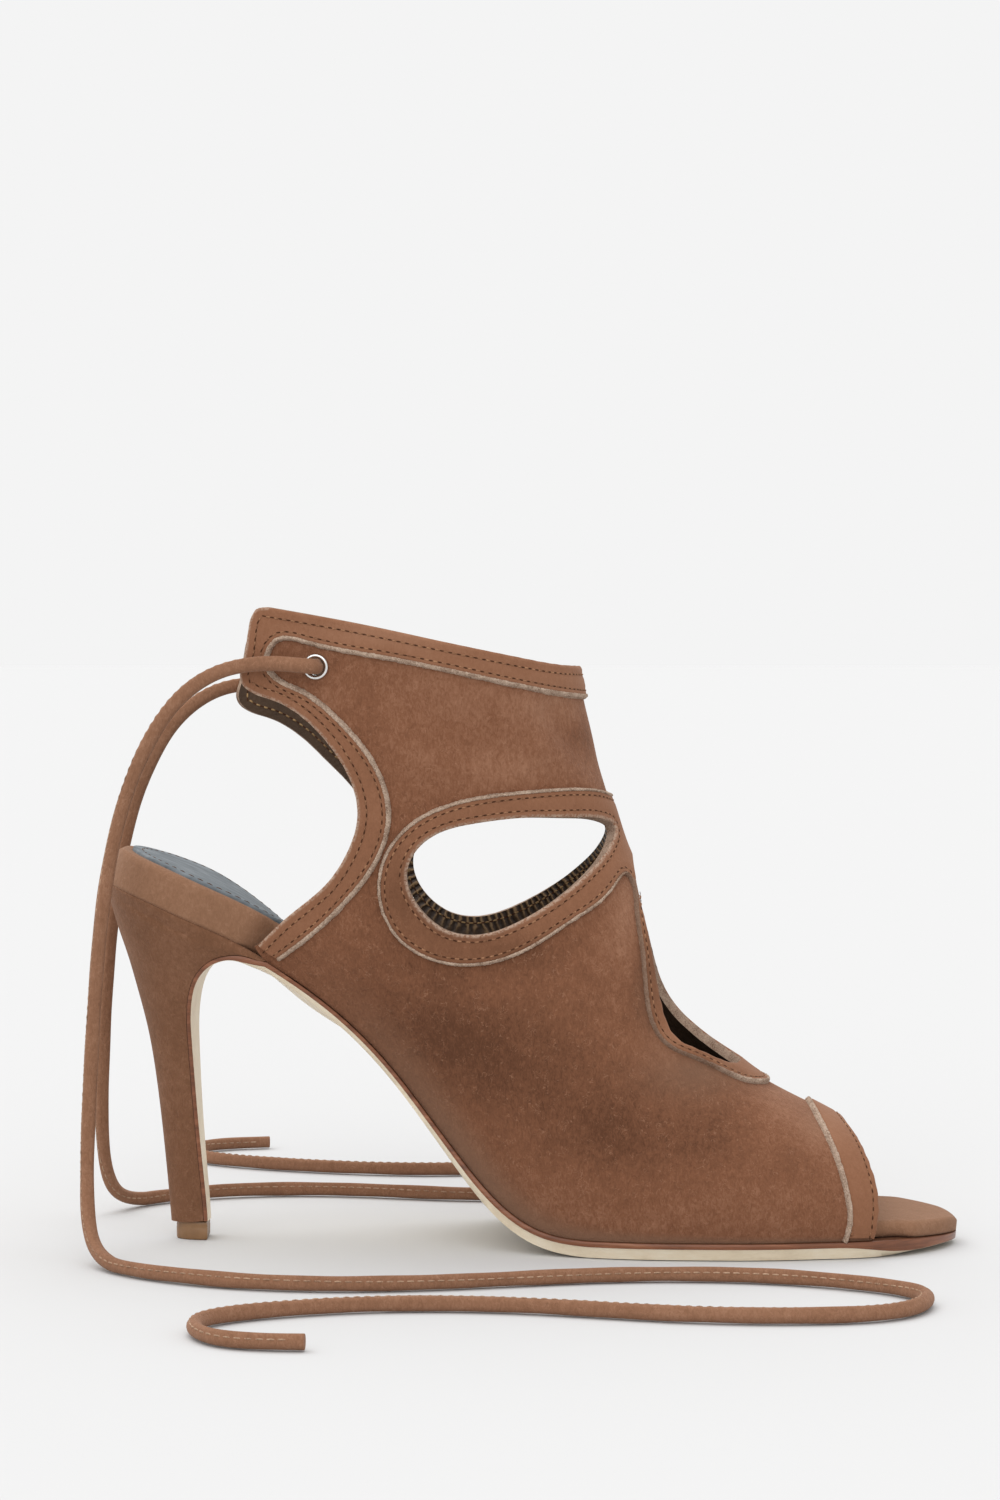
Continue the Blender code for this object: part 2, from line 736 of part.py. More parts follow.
def loft(name, rings, finish, collection):
    """A solid through closed rings of points. Each end is closed from one side of its ring to the other."""
    rings = np.asarray(rings, float)
    count, size = rings.shape[:2]
    points = rings.reshape(-1, 3)
    faces = []
    for i in range(count - 1):
        here, there = i * size, (i + 1) * size
        for k in range(size):
            after = (k + 1) % size
            faces.append((here + k, here + after, there + after, there + k))
    for start, flip in ((0, True), ((count - 1) * size, False)):
        for k in range(size // 2):
            far, near = size - 1 - k, size - 2 - k
            face = [start + k, start + k + 1, start + near, start + far]
            face = list(dict.fromkeys(face))
            if len(face) > 2:
                faces.append(face[::-1] if flip else face)
    mesh = mesh_of(name, points, faces)
    sides = bmesh.new()
    sides.from_mesh(mesh)
    bmesh.ops.recalc_face_normals(sides, faces=sides.faces)
    sides.to_mesh(mesh)
    sides.free()
    return add_object(name, mesh, finish, collection)


def end_spaced(start, end, count):
    """Places from start to end, closer together towards both ends."""
    turn = np.linspace(0, math.pi, count)
    return start + (end - start) * (1 - np.cos(turn)) / 2


def upper_share(x):
    """1 where the upper wraps the footbed, 0 at the bare seat and the bare toe."""
    return smooth_step(x, -73.4, -70.6) * smooth_step(x, 96.0, 90.0)


def footbed_thickness(x):
    """Thickness along the shoe, with both ends rounded over."""
    from_end = np.minimum(x - HEEL_END_X, (TOE_END_X - x) * FOOTBED_ROUND / TOE_TIP_ROUND)
    over = np.clip(1 - from_end / FOOTBED_ROUND, 0, 1)
    full = FOOTBED_TOE + (FOOTBED_HEEL - FOOTBED_TOE) * smooth_step(x, 20.0, -70.0)
    return full - FOOTBED_ROUND * (1 - np.sqrt(1 - over**2))


def footbed_half(x):
    """Half the footbed's width: clear of the upper's wall, full at the seat and the toe."""
    clear = UPPER_INSET + UPPER_WALL + 2.5 * GAP
    return half_width(x) - clear * upper_share(x)


def footbed_stations():
    return end_spaced(HEEL_END_X + 0.06, TOE_END_X - 0.06, SOLE_STATIONS)


def make_footbed(collection):
    rings = []
    for x in footbed_stations():
        half, thick, middle = footbed_half(x), footbed_thickness(x), centre_y(x)
        edge = min(FOOTBED_ROUND, 0.45 * half)
        profile = (
            (-half, 0.0),
            (-half, thick - FOOTBED_ROUND),
            (-half + edge * 0.3, thick - FOOTBED_ROUND * 0.3),
            (-half + edge, thick),
            (0.0, thick),
            (half - edge, thick),
            (half - edge * 0.3, thick - FOOTBED_ROUND * 0.3),
            (half, thick - FOOTBED_ROUND),
            (half, 0.0),
            (0.0, 0.0),
        )
        rings.append([above_feather(x, middle + y, h) for y, h in profile])
    return loft("footbed", rings, "suede", collection)


def make_sock(collection):
    rings = []
    start = HEEL_END_X + SOCK_INSET
    stations = [start + 0.05, start + 0.8]
    stations += [x for x in footbed_stations() if start + 1.6 < x < SOCK_FRONT_X]
    for x in stations:
        half = min(half_width(x, SOCK_INSET), footbed_half(x) - FOOTBED_ROUND)
        low = footbed_thickness(x) + GAP
        middle = centre_y(x)
        high = low + SOCK_THICK
        top = ((-half, low), (-half, high), (0.0, high))
        profile = (*top, (half, high), (half, low), (0.0, low))
        rings.append([above_feather(x, middle + y, h) for y, h in profile])
    return loft("insole_sock", rings, "sock", collection)


def heel_at(u):
    """The columns of the heel table at row place u, by name."""
    places = np.arange(len(HEEL_ROWS))
    return {
        name: spline(u, places, column(HEEL_COLUMNS, HEEL_ROWS, name))
        for name in HEEL_COLUMNS
    }


def d_ring(back_x, back_z, front_x, front_z, half, squareness):
    """A D-shaped ring, from its front's inner corner round the back to the outer corner."""
    turn = np.linspace(-math.pi / 2, math.pi / 2, HEEL_RING)
    back = np.cos(turn)
    across = np.sign(turn) * np.sqrt(np.clip(1 - back**squareness, 0, 1))
    x = front_x + back * (back_x - front_x)
    z = front_z + back * (back_z - front_z)
    return np.stack([x, across * half, z], axis=-1)


def make_heel(collection):
    """Rings down the heel. The first one lies under the footbed's seat."""
    rings = []
    for u in HEEL_PLACES:
        row = heel_at(u)
        ring = d_ring(*(row[name] for name in HEEL_COLUMNS))
        if u == 0:
            side = np.sign(ring[:, 1]) * np.maximum(half_width(ring[:, 0]), 0.2)
            ring[:, 1] = np.where(side == 0, 0, side + centre_y(ring[:, 0]))
            ring[:, 2] = above_feather(ring[:, 0], ring[:, 1], 0.0)[:, 2] - GAP
        else:
            ring[:, 2] -= waist_roll(ring[:, 0]) / 2 * ring[:, 1] / row["half_width"]
        rings.append(ring)
    return loft("heel", rings, "suede", collection)


def make_heel_tip(collection):
    rings = [d_ring(TIP_BACK_X, z, TIP_FRONT_X, z, TIP_HALF, 2.0) for z in (TIP_HEIGHT, 0.0)]
    return loft("heel_tip", rings, "tip", collection)


def outsole_thickness(x):
    toe = smooth_step(x, TOE_END_X, TREAD_FRONT_X)
    waist = smooth_step(x, TREAD_REAR_X, -30.0)
    return TOE_THICK + (OUTSOLE_THICK - TOE_THICK) * toe - (OUTSOLE_THICK - WAIST_THICK) * waist


def outsole_stations():
    """The outsole's way as arrays: under the toe, tread and arch, then down the breast of the heel."""
    toe = TOE_END_X - 0.06
    tread = end_spaced(toe, 2 * SEAT_FRONT_X - toe, 2 * SOLE_STATIONS - 1)[:SOLE_STATIONS]
    heel = heel_at(HEEL_PLACES[HEEL_PLACES > BREAST_FROM])
    down = np.arange(1, len(heel["front_x"]) + 1)
    fade = 1 - smooth_step(down, 0, 6)
    breast = BREAST_THICK + (WAIST_THICK - BREAST_THICK) * fade
    return {
        "x": np.concatenate([tread, heel["front_x"]]),
        "z": np.concatenate([feather_z(tread), heel["front_z"]]),
        "half": np.concatenate([half_width(tread) + SOLE_MARGIN, heel["half_width"] + 0.2]),
        "middle": np.concatenate([centre_y(tread), centre_y(heel["front_x"]) * fade]),
        "thick": np.concatenate([outsole_thickness(tread), breast]),
        "roll": waist_roll(np.concatenate([tread, heel["front_x"]])),
    }


def make_outsole(collection):
    way = outsole_stations()
    run_x, run_z = np.gradient(way["x"]), np.gradient(way["z"])
    size = np.hypot(run_x, run_z)
    rings = []
    for i, (x, z, half, middle, thick, roll) in enumerate(zip(*way.values())):
        down_x, down_z = -run_z[i] / size[i], run_x[i] / size[i]
        bevel = min(SOLE_BEVEL, 0.4 * half, 0.6 * thick)
        step = min(SOLE_EDGE_STEP, 0.15 * half)
        band = min(SOLE_EDGE_BAND, 0.5 * thick)
        profile = (
            (-half, 0.0),
            (-half, band),
            (-half + step, band),
            (-half + bevel, thick),
            (half - bevel, thick),
            (half - step, band),
            (half, band),
            (half, 0.0),
            (0.0, 0.0),
        )
        ring = []
        for y, depth in profile:
            sunk = depth + GAP + TWIST_GAP * roll
            height = z + down_z * sunk - roll / 2 * y / half
            ring.append((x + down_x * sunk, middle + y, max(height, 0.0)))
        rings.append(ring)
    return loft("outsole", rings, "sole", collection)


def make_eyelet(name, outer, collection):
    """A turned metal eyelet through the upper's wall: flange outside, barrel, rolled edge inside."""
    mesh = bpy.data.meshes.new(name)
    ring = [(r * MM, 0.0, h * MM) for r, h in EYELET_PROFILE]
    mesh.from_pydata(ring, [(i, (i + 1) % len(ring)) for i in range(len(ring))], [])
    obj = add_object(name, mesh, "metal", collection)
    turned = obj.modifiers.new("turn", "SCREW")
    turned.steps = EYELET_SIDES
    turned.render_steps = EYELET_SIDES
    turned.use_merge_vertices = True
    turned.merge_threshold = 1e-5
    turned.use_smooth_shade = False
    s, v = side_to_surface(on_side([EYELET_AT], outer), outer)[0]
    obj.rotation_euler = Vector(upper_normal(s, v)).to_track_quat("Z", "Y").to_euler()
    obj.location = Vector(upper_point(s, v) * MM)
    return obj


def make_tie(name, route, collection):
    """A round cord along a smooth curve through its route."""
    points = curve_through(route, TIE_RADIUS * 8)
    points[:, 2] = np.maximum(points[:, 2], TIE_RADIUS + 0.1)
    curve = bpy.data.curves.new(name, "CURVE")
    curve.dimensions = "3D"
    curve.bevel_depth = TIE_RADIUS * MM
    curve.bevel_resolution = 2
    curve.use_fill_caps = True
    line = curve.splines.new("POLY")
    line.points.add(len(points) - 1)
    for point, place in zip(line.points, points):
        point.co = (*(place * MM), 1.0)
    return add_object(name, curve, "suede", collection)


def toe_trim_outline():
    edge, line = both_sides(TOE_EDGE), both_sides(TOE_TRIM_LINE)
    outer_base = base_line(edge[-1, 0], line[-1, 0], True, TRIM_BASE)[1:-1]
    inner_base = base_line(line[0, 0], edge[0, 0], False, TRIM_BASE)[1:-1]
    return np.concatenate([edge, outer_base, line[::-1], inner_base])


def collar_trim_outline():
    rear_inner, rear_outer = edge_line(REAR_EDGE, False), edge_line(REAR_EDGE, True)
    edge, line = both_sides(COLLAR_EDGE), both_sides(COLLAR_TRIM_LINE)
    return np.concatenate([rear_inner[:-1], edge, rear_outer[-2::-1], line[::-1]])


def instep_trim_outline():
    inner, outer = fine_line(CUTOUT_TRIM_LINE, False), fine_line(CUTOUT_TRIM_LINE, True)
    inner[[0, -1], 1] = outer[[0, -1], 1] = 0.0
    return np.concatenate([respace(inner), respace(outer)[-2:0:-1]])


def make_upper(collection):
    """The hollow upper, with the bands laid over its edges at toe, collar, cut-outs and throat."""
    outline = upper_outline()
    windows = [cutout_loop(False), cutout_loop(True), throat_loop()]
    holes = [*windows, eyelet_hole(False), eyelet_hole(True)]
    trims = {
        "toe": toe_trim_outline(),
        "collar": collar_trim_outline(),
        "instep": instep_trim_outline(),
    }
    region = fill_region(outline, holes, list(trims.values()))
    shell("upper", region, -UPPER_WALL, UPPER_WALL, "suede", collection)
    for name, trim in trims.items():
        band = part_of(region, trim, windows)
        shell("trim_" + name, band, GAP, TRIM_THICK, "trim", collection)


def main():
    for obj in list(bpy.data.objects):
        bpy.data.objects.remove(obj)
    shoe = bpy.data.collections.new("heeled_sandal")
    bpy.context.scene.collection.children.link(shoe)
    make_outsole(shoe)
    make_heel(shoe)
    make_heel_tip(shoe)
    make_footbed(shoe)
    make_sock(shoe)
    make_upper(shoe)
    make_eyelet("eyelet_inner", False, shoe)
    make_eyelet("eyelet_outer", True, shoe)
    for name, route in TIE_ROUTES.items():
        make_tie(name, route, shoe)


main()
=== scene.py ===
"""Looks of a left heeled sandal boot in suede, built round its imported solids.

Frame: +X towards the toe, +Z up, the floor at z = 0, the wearer's inner side at -Y.
Sizes are millimetres, and MM turns them into the scene's metres.
"""

import math

import bmesh
import bpy
import numpy as np
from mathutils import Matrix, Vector, geometry
from mathutils.kdtree import KDTree


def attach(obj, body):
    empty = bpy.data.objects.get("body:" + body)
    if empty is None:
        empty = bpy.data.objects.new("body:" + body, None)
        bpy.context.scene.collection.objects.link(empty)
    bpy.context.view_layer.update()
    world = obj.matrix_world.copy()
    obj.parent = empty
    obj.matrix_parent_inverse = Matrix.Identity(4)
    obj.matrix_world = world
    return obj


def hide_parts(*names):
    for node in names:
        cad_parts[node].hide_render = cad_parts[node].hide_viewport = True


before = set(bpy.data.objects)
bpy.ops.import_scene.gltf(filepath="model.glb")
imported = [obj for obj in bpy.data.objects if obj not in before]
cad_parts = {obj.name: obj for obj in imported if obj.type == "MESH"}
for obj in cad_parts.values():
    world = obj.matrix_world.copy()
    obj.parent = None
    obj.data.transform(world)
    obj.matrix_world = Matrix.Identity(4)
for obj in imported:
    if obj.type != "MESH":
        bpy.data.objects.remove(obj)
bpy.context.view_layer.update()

MM = 0.001

# Driving sizes.
HEEL_END_X = -108.6
TOE_END_X = 108.6
OUTSOLE_THICK = 4.3
WAIST_THICK = 2.1
BREAST_THICK = 1.1
TOE_THICK = 2.0
SOLE_EDGE_BAND = 1.4
SOLE_EDGE_STEP = 0.4
SOLE_BEVEL = 1.8
SOLE_MARGIN = 0.4
SOLE_JOIN = 0.06
END_CLEAR = 0.06
SOLE_GROOVE = 0.12
HEEL_JOIN = 0.15
GAP = 0.3
UPPER_WALL = 1.8
UPPER_INSET = 0.6
TRIM_BASE = 0.88
FOOTBED_HEEL = 9.7
FOOTBED_TOE = 4.1
FOOTBED_ROUND = 2.2
TOE_TIP_ROUND = 4.6
SOCK_THICK = 0.6
SOCK_INSET = 3.2
SOCK_FRONT_X = 46.0
TIE_RADIUS = 2.0
EYELET_AT = (-53.5, 147.0)

# The tread lies flat on the floor between these two places along the shoe.
TREAD_REAR_X = 14.0
TREAD_FRONT_X = 84.0
TOE_SPRING = -1.3
WAIST_ROLL = 8.0
WAIST_ROLL_X = -57.0
WAIST_ROLL_REACH = 34.0
WAIST_THIN_X = -30.0
BREAST_MARGIN = 0.2

# Places along the shoe where the upper lets go of the footbed, and where the footbed gets thinner.
SEAT_CLEAR_X = (-73.4, -70.6)
TOE_CLEAR_X = (96.0, 90.0)
FOOTBED_TAPER_X = (20.0, -70.0)
FOOTBED_GAPS = 2.5

# Plan outline of the sole, with its ends rounded by a formula.
OUTLINE_COLUMNS = ("x", "centre_y", "half_width")
OUTLINE_ROWS = (
    (-108.6, 0.0, 25.2), (-84.0, 0.0, 25.2), (-66.0, 0.6, 24.2), (-50.0, 1.8, 23.2), (-36.0, 2.8, 23.0),
    (-20.0, 3.2, 25.0), (-6.0, 2.8, 29.0), (8.0, 2.0, 33.2), (22.0, 1.0, 36.2), (42.0, -0.6, 36.6),
    (60.0, -2.4, 34.6), (76.0, -4.0, 30.6), (108.6, -6.4, 27.0),
)
HEEL_ROUND = 24.6
TOE_ROUND = 32.6
TOE_POINT = 1.55

# Height of the line where upper and footbed meet the outsole, from the tread up to the seat.
FEATHER_COLUMNS = ("x", "rise")
FEATHER_ROWS = (
    (-108.6, 87.5), (-88.0, 79.4), (-72.0, 69.75), (-60.0, 60.4), (-48.0, 51.6), (-33.0, 38.2),
    (-18.0, 19.4), (-8.0, 8.2), (2.0, 1.9), (TREAD_REAR_X, 0.0),
)

# Sections of the upper, from the toe to the collar. In side view each is a line from the edge of the
# sole, or from behind the open back, to the front profile. A base_z of None lies on the feather line.
SECTION_COLUMNS = (
    "base_x", "base_z", "base_half", "ridge_x", "ridge_z", "ridge_y", "inner", "outer", "widest",
)
SECTION_ROWS = (
    (93.0, None, None, 89.6, 25.4, -6.5, 31.2, 18.6, 0.14),
    (85.0, None, None, 79.0, 31.4, -6.2, 32.8, 23.8, 0.14),
    (74.0, None, None, 70.6, 35.8, -5.8, 35.6, 28.6, 0.15),
    (60.0, None, None, 61.6, 40.4, -5.3, 37.6, 33.2, 0.16),
    (41.0, None, None, 53.0, 46.4, -4.7, 38.0, 36.8, 0.18),
    (22.0, None, None, 45.6, 54.4, -4.0, 36.6, 38.0, 0.22),
    (6.0, None, None, 39.8, 63.8, -3.2, 34.6, 36.8, 0.28),
    (-8.0, None, None, 35.4, 73.8, -2.4, 33.2, 34.8, 0.34),
    (-22.0, None, None, 31.6, 83.8, -1.6, 32.2, 33.2, 0.39),
    (-38.0, None, None, 27.6, 93.0, -0.9, 31.6, 32.2, 0.43),
    (-53.0, None, None, 23.8, 101.4, -0.4, 31.4, 31.8, 0.46),
    (-67.0, None, None, 21.0, 110.0, 0.0, 31.6, 31.8, 0.48),
    (-76.0, 96.0, 24.0, 18.2, 118.8, 0.0, 32.0, 32.2, 0.50),
    (-79.0, 116.0, 23.5, 16.0, 128.2, 0.0, 32.6, 32.6, 0.51),
    (-79.0, 138.0, 23.5, 13.8, 137.2, 0.0, 33.0, 33.0, 0.52),
    (-77.0, 164.5, 24.0, 11.7, 147.4, 0.0, 33.4, 33.4, 0.52),
)
QUARTER_PLACE = 11
QUARTER_BLEND = 0.6
WIDEST_AT = 0.6
ROUNDNESS = 2.15
SURFACE_STEP = 0.004
PLACE_SAMPLES = 1200
PLACE_PAST = 0.6

# Edges of the upper in side view, as x and z on the inner side.
REAR_EDGE = (
    (-68.4, 77.4), (-60.0, 85.4), (-51.3, 92.8), (-45.6, 101.4), (-43.2, 110.0), (-44.3, 117.2),
    (-48.4, 125.2), (-55.0, 132.9), (-64.0, 138.6), (-70.6, 141.3), (-72.2, 143.2), (-71.4, 149.0),
    (-69.6, 159.2), (-68.4, 161.2), (-65.6, 161.8),
)
COLLAR_EDGE = (
    (-65.6, 161.8), (-42.6, 157.6), (-20.0, 152.8), (-2.0, 149.0), (8.6, 147.2), (11.8, 147.0),
)
SIDE_CUTOUT = (
    (-31.0, 95.6), (-28.9, 101.2), (-23.6, 105.6), (-14.0, 108.2), (-2.0, 109.4), (10.0, 109.2),
    (18.0, 108.2), (20.6, 106.6), (19.6, 102.0), (15.0, 96.4), (6.4, 89.4), (-3.6, 83.6), (-13.0, 80.6),
    (-21.0, 81.6), (-27.6, 86.8),
)
TOE_EDGE = ((84.8, 5.2), (85.8, 11.4), (85.6, 17.0), (83.8, 23.4), (81.4, 28.4), (79.0, 31.4))

# The throat opening, as its widths inwards and outwards at heights along the front profile.
THROAT_COLUMNS = ("ridge_z", "inner", "outer")
THROAT_ROWS = (
    (98.0, 0.0, 0.0), (96.6, 5.0, 5.0), (92.6, 9.4, 9.0), (86.0, 13.2, 12.2), (77.0, 17.0, 15.2),
    (69.2, 20.6, 17.2), (64.8, 22.2, 17.4), (61.0, 22.2, 17.0), (57.0, 20.4, 15.8), (52.6, 17.6, 13.4),
    (48.8, 13.6, 9.2), (46.8, 7.0, 4.6), (46.2, 0.0, 0.0),
)

# Inner lines of the trim bands, in side view on the inner side.
TOE_TRIM_LINE = ((77.6, 4.8), (78.8, 9.6), (78.2, 16.0), (76.4, 23.2), (73.8, 29.8), (70.9, 35.6))
COLLAR_TRIM_LINE = (
    (-63.4, 74.2), (-53.8, 81.6), (-46.2, 89.1), (-39.6, 97.6), (-36.0, 107.0), (-36.4, 115.6),
    (-40.0, 124.0), (-48.0, 133.6), (-57.6, 141.0), (-63.8, 144.2), (-65.8, 147.0), (-65.2, 151.6),
    (-63.2, 153.8), (-56.0, 153.4), (-36.0, 149.4), (-14.0, 144.8), (4.0, 140.9), (11.8, 139.6),
    (13.3, 139.4),
)
CUTOUT_TRIM_LINE = (
    (19.8, 113.6), (18.8, 114.2), (14.0, 115.6), (2.0, 115.8), (-10.0, 114.8), (-21.0, 112.4),
    (-30.4, 107.4), (-36.4, 99.4), (-37.6, 90.0), (-33.6, 80.6), (-25.0, 74.8), (-13.6, 73.4),
    (-1.6, 77.0), (11.0, 84.6), (20.4, 92.0), (23.4, 94.6), (24.8, 93.2), (26.2, 86.0), (27.6, 75.6),
    (28.6, 65.4), (30.0, 58.6), (33.2, 53.0), (40.0, 49.0), (46.6, 45.8), (54.0, 42.4), (60.2, 41.2),
)

# The outer flap of the collar hangs a little lower and further back than the inner one.
FLAP_DROP = 5.4
FLAP_BACK = 4.8
FLAP_HEIGHTS = (100.0, 130.0)
FLAP_PLACES = (12.0, -60.0)
SOLE_HEIGHTS = (100.0, 78.0)

# The heel in side view, from the seat to the tip: back edge, breast edge, half width at the breast.
HEEL_COLUMNS = ("back_x", "back_z", "front_x", "front_z", "half_width", "squareness")
HEEL_ROWS = (
    (-108.4, 91.8, -66.2, 69.4, 24.4, 3.4),
    (-108.3, 90.0, -70.6, 71.7, 24.2, 3.2),
    (-108.0, 88.0, -75.0, 73.0, 23.6, 3.0),
    (-107.2, 85.0, -79.8, 72.7, 22.0, 2.7),
    (-105.6, 79.6, -83.8, 70.1, 19.4, 2.5),
    (-103.2, 72.4, -86.4, 65.2, 16.4, 2.3),
    (-100.4, 62.4, -87.4, 58.1, 13.2, 2.2),
    (-97.5, 49.8, -87.2, 49.0, 10.2, 2.1),
    (-94.9, 30.4, -86.0, 30.2, 7.2, 2.0),
    (-93.1, 12.0, -84.4, 12.0, 5.4, 2.0),
    (-92.5, 4.6, -83.9, 4.6, 5.0, 2.0),
)
SEAT_FRONT_X = -66.2
BREAST_FROM = 0.6
TIP_BACK_X = -91.2
TIP_FRONT_X = -82.9
TIP_HALF = 4.5
TIP_SQUARENESS = 2.0
SEAT_LEAST = 0.2
TIP_RINGS = ((4.55, 0.25), (3.6, 0.0), (3.3, 0.12), (3.0, 0.0), (0.5, 0.05), (0.15, 0.2), (0.0, 0.5))
BREAST_FADE = 16

# Spacing of the mesh.
EDGE_STEP = 1.0
FINE_STEP = 0.4
SECTION_STEP = 0.085
GIRTH_STEP = 0.0145
SOLE_STATIONS = 150
HEEL_RING = 49
HEEL_PLACES = np.linspace(0, len(HEEL_ROWS) - 1, 8 * len(HEEL_ROWS) - 7)

# Routes of the ties from their eyelets to the floor, as points of a smooth curve.
TIE_ROUTES = {
    "tie_inner": (
        (-54.2, -34.5, 147.0), (-61.0, -33.8, 147.6), (-68.5, -31.8, 147.6), (-76.0, -29.8, 146.2),
        (-86.0, -27.6, 140.6), (-95.0, -26.2, 129.0), (-102.0, -26.0, 112.0), (-106.5, -27.0, 90.0),
        (-109.0, -28.2, 62.0), (-110.2, -29.4, 38.0), (-110.4, -32.4, 19.0), (-108.4, -40.0, 6.6),
        (-102.0, -52.0, 2.2), (-90.0, -63.6, 2.1), (-70.0, -74.0, 2.1), (-42.0, -78.0, 2.1),
        (-12.0, -73.0, 2.1), (18.0, -66.0, 2.1), (48.0, -66.0, 2.1), (74.0, -75.0, 2.1),
        (90.0, -92.0, 2.1), (84.0, -110.0, 2.1), (60.0, -118.0, 2.1), (30.0, -115.0, 2.1),
        (0.0, -106.0, 2.1), (-30.0, -103.0, 2.1), (-58.0, -110.0, 2.1), (-75.0, -125.0, 2.1),
        (-70.0, -142.0, 2.1), (-50.0, -148.0, 2.1),
    ),
    "tie_outer": (
        (-59.2, 33.6, 141.8), (-66.0, 32.2, 142.2), (-73.5, 30.2, 142.2), (-81.0, 28.0, 141.0),
        (-90.5, 26.2, 135.5), (-99.0, 25.2, 124.0), (-105.5, 25.4, 107.0), (-110.0, 26.5, 84.0),
        (-112.4, 27.8, 58.0), (-113.6, 29.4, 36.0), (-113.6, 32.6, 18.0), (-111.4, 40.0, 6.4),
        (-105.0, 50.6, 2.2), (-92.0, 61.0, 2.1), (-70.0, 68.0, 2.1), (-44.0, 66.0, 2.1),
        (-18.0, 60.0, 2.1), (10.0, 62.0, 2.1), (38.0, 72.0, 2.1), (62.0, 86.0, 2.1), (70.0, 104.0, 2.1),
        (56.0, 118.0, 2.1), (30.0, 120.0, 2.1), (2.0, 112.0, 2.1), (-26.0, 106.0, 2.1),
        (-54.0, 110.0, 2.1), (-80.0, 120.0, 2.1), (-98.0, 136.0, 2.1), (-96.0, 154.0, 2.1),
        (-78.0, 162.0, 2.1),
    ),
}

# Creases and soft swells of the leather: ends in side view, half width, height, and side, -1 for the inner.
CREASE_SIDE = (-0.05, 0.25)
CREASE_BASE = (1.0, 0.9)
CREASES = (
    ((-34.0, 141.0), (-12.0, 126.0), 7.0, -0.7, -1),
    ((-22.0, 146.0), (2.0, 128.0), 6.0, 0.5, -1),
    ((5.0, 135.0), (16.0, 123.0), 4.0, -1.4, -1),
    ((2.0, 126.0), (16.0, 117.0), 4.0, 0.6, -1),
    ((-30.0, 124.0), (-6.0, 119.0), 5.0, 0.5, -1),
    ((22.0, 60.0), (34.0, 40.0), 8.0, -0.7, -1),
    ((38.0, 52.0), (60.0, 32.0), 7.0, 0.6, -1),
    ((44.0, 40.0), (66.0, 20.0), 7.0, -0.5, -1),
    ((-6.0, 62.0), (14.0, 30.0), 9.0, -0.5, -1),
    ((-44.0, 76.0), (-20.0, 58.0), 8.0, 0.5, -1),
    ((-30.0, 138.0), (-4.0, 124.0), 7.0, -0.7, 1),
    ((2.0, 134.0), (15.0, 124.0), 5.0, -0.6, 1),
    ((20.0, 58.0), (36.0, 36.0), 9.0, -0.6, 1),
    ((40.0, 46.0), (62.0, 24.0), 8.0, 0.5, 1),
    ((-40.0, 74.0), (-10.0, 50.0), 9.0, -0.5, 1),
)

# Darker or lighter nap, partly painted shade and light: centre in side view, reach along x and z, strength.
NAP_AND_SHADING_PATCHES = (
    (-18.0, 66.0, 34.0, 20.0, -0.4),
    (-6.0, 46.0, 19.0, 12.0, -0.55),
    (-26.0, 56.0, 13.0, 9.0, -0.4),
    (-33.0, 91.0, 6.0, 10.0, -0.5),
    (8.0, 33.0, 13.0, 9.0, -0.3),
    (40.0, 46.0, 14.0, 8.0, -0.3),
    (40.0, 31.0, 22.0, 9.0, -0.5),
    (34.0, 53.0, 6.0, 5.0, 0.5),
    (29.5, 70.0, 4.0, 14.0, -0.5),
    (20.0, 30.0, 14.0, 14.0, -0.3),
    (24.0, 13.0, 40.0, 6.0, 0.1),
    (62.0, 34.0, 9.0, 9.0, 0.4),
    (73.0, 29.0, 6.0, 5.0, 0.5),
    (24.0, 84.0, 5.0, 14.0, 0.5),
    (66.0, 24.0, 9.0, 8.0, -0.25),
    (-6.0, 67.0, 14.0, 5.0, 0.3),
    (-4.0, 77.0, 12.0, 4.0, -0.4),
    (-22.0, 84.0, 9.0, 5.0, -0.4),
    (-20.0, 136.0, 30.0, 12.0, 0.35),
    (-20.0, 132.0, 14.0, 6.0, -0.3),
    (-4.0, 122.0, 12.0, 5.0, 0.3),
    (6.0, 138.0, 8.0, 6.0, 0.4),
    (13.0, 129.0, 3.5, 4.0, -0.4),
    (-40.0, 130.0, 7.0, 12.0, -0.25),
    (-36.0, 155.0, 26.0, 3.5, 0.5),
)

# Greyer patches, painted shade by the throat and the bands: centre in side view, reach along x and z,
# strength.
GREY_SHADE_PATCHES = ((41.0, 46.0, 12.0, 6.0, 0.5), (31.0, 66.0, 4.0, 12.0, 0.4), (74.0, 33.0, 5.0, 4.0, 0.3))
SOLE_DUST = 0.75
SOLE_DUST_FROM = (0.86, 1.0)
SOLE_DUST_X = (-60.0, -10.0)

# The dense mesh of the upper.
LINE_STEP = 0.36
ROLL_ROWS = (0.35, 0.9)
CHUNK = 4000
GRID_CLEAR = 0.55
SAME_POINT = 1e-6

# Bands: their height over the upper, rounding at the edges, stitch rows and raw edge.
BAND_TOP = 1.15
BAND_ROLL = 1.0
BAND_EDGE = 0.35
STITCH_PITCH = 2.15
STITCH_LONG = 1.2
STITCH_RADIUS = 0.24
STITCH_SINK = 0.23
STITCH_RISE = 0.16
STITCH_BITE = 0.08
STITCH_SIDES = 6
STITCH_SHAPE = ((0.0, 0.45), (0.13, 0.9), (0.5, 1.0), (0.87, 0.9), (1.0, 0.45))
STITCH_WIDE = 0.95
STITCH_HIGH = 0.8
LINING_SINK = 0.02
HOLE_LONG = 0.6
HOLE_WIDE = 0.2
HOLE_RISE = 0.07
HOLE_TOP = 0.05
HOLE_DEEP = 0.1
HOLE_SIDES = 6
EDGE_ROWS = {"toe": 1.5, "collar": 2.3, "instep": 1.7}
RAW_ROW = 1.3
ROW_DIP = 0.26
